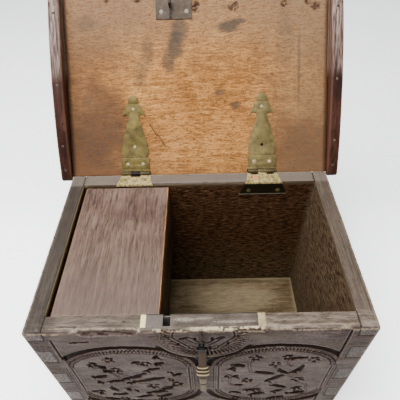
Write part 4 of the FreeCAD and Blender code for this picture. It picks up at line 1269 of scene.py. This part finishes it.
def nail_head(at, radius, proud, seed, length):
    """A domed, slightly uneven nail that looks down, as points and faces."""
    outline = [(0, proud)] + [(radius * math.sin(t),
                               proud * math.cos(t) ** 0.8) for t in (0.3, 0.6, 0.9, 1.2, 1.45)]
    outline += [(radius, -0.05), (0.9, -0.06), (0.9, 2.0 - length), (0, -length)]
    points, faces = lathe(outline, 20, 0.10, seed)
    points[:, 2] = np.where(points[:, 2] > 0, points[:, 2] * (0.8 + 0.2 * noise(points, 1.1, seed + 3)),
                            points[:, 2])
    turn = Vector((0, 0, 1)).rotation_difference(Vector((0, 0, -1))).to_matrix()
    return points @ np.array(turn).T + np.array(at), faces


def hinge_brass(side):
    if side == "left":
        return aged_brass("left_brass", (0.091, 0.067, 0.017), (0.052, 0.037, 0.0093), (0.024, 0.018, 0.005))
    return aged_brass("right_brass", (0.110, 0.0825, 0.029), (0.063, 0.046, 0.016), (0.029, 0.022, 0.0083))


def build_hinges():
    leaf_brass = aged_brass("leaf_brass", (0.20, 0.15, 0.055), (0.12, 0.088, 0.030), (0.052, 0.039, 0.014),
                            (0.31, 0.245, 0.115), 208.0)
    for side, x in (("left", -HINGE_X), ("right", HINGE_X)):
        strap = cad_copy(f"eased_{side}_strap", f"{side}_hinge_strap", -LID_TURN)
        for s, half, wide in ((81.4, 5.4, 0.9), (19.0, 15.0, 0.6), (5.2, 17.5, 0.5)):
            bar = make("bar", *box_points(np.array([x - half, HINGE[1] - s - wide / 2, LID_UNDER - 2.0]),
                                          np.array([x + half, HINGE[1] - s + wide / 2, LID_UNDER - 0.8])))
            combine(strap, bar, "DIFFERENCE")
        if side == "right":
            hole = make("hole", *lathe([(0, 214.0), (1.75, 214.0), (1.75, 208.0), (0, 208.0)], 24))
            set_places(hole, places(hole) + np.array([x, HINGE[1] - 31.0, 0.0]))
            combine(strap, hole, "DIFFERENCE")
        soften(strap, 0.22)
        dress(hang(strap), hinge_brass(side), "lid", "brass", f"{side}_hinge_strap")
        eased(f"eased_{side}_leaf", f"{side}_hinge_leaf", 0.2, leaf_brass, "carcass", "brass")
    plate_z = LID_UNDER - STRAP_T
    heads = []
    for x, spots in ((-HINGE_X, ((0, 75), (0, 31), (-9, 11), (9, 11))),
                     (HINGE_X, ((0, 75), (-9, 11), (9, 11)))):
        for i, (dx, s) in enumerate(spots):
            wide, proud = 3.0 if (x, dx) == (HINGE_X, -9) else 2.4, 1.2 if s > 20 else 0.8
            heads.append(nail_head((x + dx, HINGE[1] - s, plate_z), wide, proud, int(x) + i, 9.5))
    finish = aged_brass("nail_brass", (0.24, 0.185, 0.105), (0.16, 0.12, 0.066), (0.07, 0.052, 0.028))
    dress(hang(several("domed_strap_nails", heads)), finish, "lid", "brass", "strap_nails")
    heads = [nail_head((x, HINGE[1] - 182.5, plate_z), 2.6, 0.7, int(x), 9.5) for x in (-38.5, -10.0)]
    finish = iron("hook_nail_iron", 0.3, (0.07, 0.06, 0.05), (0.22, 0.19, 0.16))
    dress(hang(several("domed_hook_plate_nails", heads)), finish, "lid", "iron", "hook_plate_nails")
    heads = []
    for side in (-1, 1):
        for i, s in enumerate((6.0, 34.0, 102.0, 180.0)):
            bottom = cleat_bottom(s)
            at = (side * CLEAT_MID, HINGE[1] - s, LID_UNDER - bottom + 0.1)
            heads.append(nail_head(at, 1.6, 0.4, side * 40 + i, bottom + 8.5))
    finish = iron("cleat_nail_iron", 0.9, (0.006, 0.005, 0.004), (0.040, 0.033, 0.028))
    dress(hang(several("domed_cleat_nails", heads)), finish, "lid", "iron", "cleat_nails")


def build_lock():
    eased("eased_lock_plate", "lock_plate", 0.3, plate_iron(), "carcass", "iron")
    pieces = []
    low, high = box_mm("lock_fillets")
    for x0, x1 in ((low[0], low[0] + 5.0), (high[0] - 7.0, high[0])):
        a, b = np.array([x0, low[1], low[2]]), np.array([x1, high[1], high[2]])
        points, quads = shell(stations(x0, x1, 0.7), stations(a[1], b[1], 0.7), stations(a[2], b[2], 0.8))
        round_box, out = eased_box(points, a, b, 0.6)
        deep = 0.12 + 0.10 * rough(points, 2.2, 111)
        pieces.append((round_box - out * deep[:, None], quads.tolist()))
    dress(several("worn_fillets", pieces), filler(), "carcass", "pale_filler", "lock_fillets")
    rusty = iron("hook_plate_iron", 0.6, (0.012, 0.008, 0.0055), (0.062, 0.045, 0.033))
    eased("eased_hook_plate", "hook_plate", 0.3, rusty, "lid", "iron", hung=True)
    black = iron("hook_iron", 0.3, (0.006, 0.005, 0.004), (0.030, 0.025, 0.022))
    eased("eased_lid_hook", "lid_hook", 0.25, black, "lid", "iron", hung=True)


def ring_mesh(centre, radius, wire, axis, seed):
    """A hand-bent wire ring."""
    turns, around = 48, 14
    a = np.arange(turns) * 2 * math.pi / turns
    b = np.arange(around) * 2 * math.pi / around
    a, b = [g.ravel() for g in np.meshgrid(a, b, indexing="ij")]
    thick = wire * (0.93 + 0.06 * noise(np.stack([np.cos(a) * 3, np.sin(a) * 3, b * 0], 1), 1.3, seed))
    out = radius + thick * np.cos(b)
    flat_ring = [out * np.cos(a), out * np.sin(a), thick * np.sin(b)]
    order = (2, 0, 1) if axis == 0 else (0, 2, 1)
    points = np.stack([flat_ring[i] for i in order], 1) + np.array(centre)
    faces = []
    for i in range(turns):
        for j in range(around):
            k, m = (i + 1) % turns, (j + 1) % around
            face = (i * around + j, k * around + j, k * around + m, i * around + m)
            faces.append(face if axis == 0 else face[::-1])
    return points, faces


def drop_profile():
    """Half width, height and half thickness of the flat drop, from its shoulder down."""
    plain = [(4.7, 193.6, 1.25), (4.85, 192.9, 1.45), (4.0, 191.9, 1.2), (3.9, 188.0, 1.3),
             (4.0, 170.0, 1.35), (4.05, 158.0, 1.35)]
    ribs = [(5.25, 156.0, 152.0), (6.05, 147.7, 144.0), (6.15, 139.8, 135.0)]
    profile = [(1.6, 195.7, 0.8), (3.4, 194.7, 1.1)] + plain
    for i, (wide, top, low) in enumerate(ribs):
        middle, half = (top + low) / 2, (top - low) / 2
        for t in np.linspace(0.25, math.pi - 0.25, 9):
            profile.append((wide - 0.9 + 0.9 * math.sin(t) ** 0.7, middle + half * math.cos(t),
                            1.15 + 0.6 * math.sin(t) ** 0.7))
        if i < 2:
            profile += [(wide - 1.1, low - 0.9, 0.95), (wide - 1.1, low - 1.7, 0.95)]
    profile += [(4.7, 133.5, 1.0), (4.3, 129.0, 0.95), (4.3, 127.6, 1.0), (3.6, 126.0, 1.5),
                (3.65, 120.0, 1.6), (3.55, 115.4, 1.5),
                (2.95, 114.0, 1.0), (2.95, 111.9, 1.0), (3.4, 110.4, 1.5), (3.1, 107.0, 1.35),
                (2.6, 103.0, 1.3), (3.1, 98.5, 1.4),
                (3.6, 95.8, 1.5), (3.3, 94.2, 1.3), (2.2, 92.2, 1.0), (1.4, 90.9, 0.7)]
    return profile


def build_drop():
    low, high = box_mm("drop_link")
    centre = (low + high) / 2
    x, y = centre[0], centre[1]
    steps, profile = 44, drop_profile()
    turn = np.arange(steps) * 2 * math.pi / steps
    c, s = np.cos(turn), np.sin(turn)
    ring = np.stack([np.sign(c) * np.abs(c) ** 0.7, np.sign(s) * np.abs(s) ** 0.8], 1)
    points = np.concatenate([np.column_stack([ring * [wide, thick], np.full(steps, z)]) for wide, z,
                             thick in profile])
    points[:, :2] *= 1 - 0.05 * (0.5 + 0.5 * noise(points, 2.2, 5))[:, None]
    faces = [tuple(range(steps)), tuple(range(len(points) - steps, len(points)))[::-1]]
    for i in range(len(profile) - 1):
        for j in range(steps):
            k = (j + 1) % steps
            faces.append((i * steps + j, (i + 1) * steps + j, (i + 1) * steps + k, i * steps + k))
    body = make("worn_drop", points + np.array([x, y, 0]), faces, 40.0)
    head = high[2] - WIRE - 2 * LINK_R
    ball_r = 2.4
    rounds = [(ball_r * math.sin(t), head + ball_r * math.cos(t)) for t in np.linspace(0.2, 2.94, 14)]
    ball = make("ball", *lathe([(0, head + ball_r), *rounds, (0, head - ball_r)], 32))
    set_places(ball, places(ball) + np.array([x, y, 0]))
    combine(body, ball, "UNION")
    combine(body, make("room", *ring_mesh(centre, LINK_R, 1.28, 1, 0)), "DIFFERENCE")
    p = places(body)
    near = np.array([np.interp(-z, [-q[1] for q in profile], [q[2] for q in profile]) for z in p[:, 2]])
    # the drop's worn tag marks its thickest rib crests, which are painted pale: painted highlights along with
    # rubbed wear
    tag(body, "worn", fade(near, 1.45, 1.72) * (p[:, 2] < 157.5) * (p[:, 2] > 130.0))
    shade(body, 40.0)
    dress(body, drop_brass(), "drop", "bronzed_brass", "flat_drop")
    wire = iron("wire_iron", 0.35, (0.0015, 0.0010, 0.0008), (0.010, 0.0065, 0.0045))
    link = make("bent_link", *ring_mesh(centre, LINK_R, WIRE, 1, 7), 60.0)
    dress(link, wire, "drop_link", "iron", "drop_link")
    far, top = box_mm("drop_staple")[1][1:]
    points, faces = lathe([(0, far), (0.5, far), (0.85, far - 1.2), (0.88, y + 0.2), (0.6, y), (0, y)], 20)
    points = points[:, [0, 2, 1]] + np.array([x, 0, top - WIRE])
    stem = make("bent_staple", points, [f[::-1] for f in faces], 60.0)
    ring = make("eye", *ring_mesh((x, y, top - WIRE - EYE_R), EYE_R, WIRE, 0, 9), 60.0)
    combine(stem, ring, "UNION")
    shade(stem, 60.0)
    dress(stem, wire, "carcass", "iron", "drop_staple")


def paint_the_rest():
    """The CAD nodes that stay as they are get their finishes."""
    dark, rusty = iron("works_iron", 0.3), iron("brad_iron", 0.9)
    brass = aged_brass("pin_brass", (0.13, 0.095, 0.035), (0.08, 0.058, 0.02), (0.04, 0.03, 0.012))
    screws = aged_brass("screw_brass", (0.16, 0.125, 0.055), (0.075, 0.056, 0.022), (0.022, 0.016, 0.006))
    copper = aged_brass("copper_head", (0.52, 0.205, 0.075), (0.42, 0.152, 0.053), (0.20, 0.072, 0.025))
    finishes = {"bottom_nails": rusty, "till_nails": rusty, "lock_case": dark, "lock_screws": dark,
                "drill_pin": dark,
                "bolt_stud": dark, "lock_bolt": dark, "bolt_spring": dark, "left_hinge_pin": brass,
                "right_hinge_pin": brass,
                "leaf_screws": screws, "copper_screw": copper}
    for node, finish in finishes.items():
        thing = NODES[node]
        thing.data.materials.clear()
        thing.data.materials.append(finish)


set_camera()
set_light()
set_floor()
build_carcass()
build_floor_board()
build_till()
build_lid()
build_hinges()
build_lock()
build_drop()
paint_the_rest()
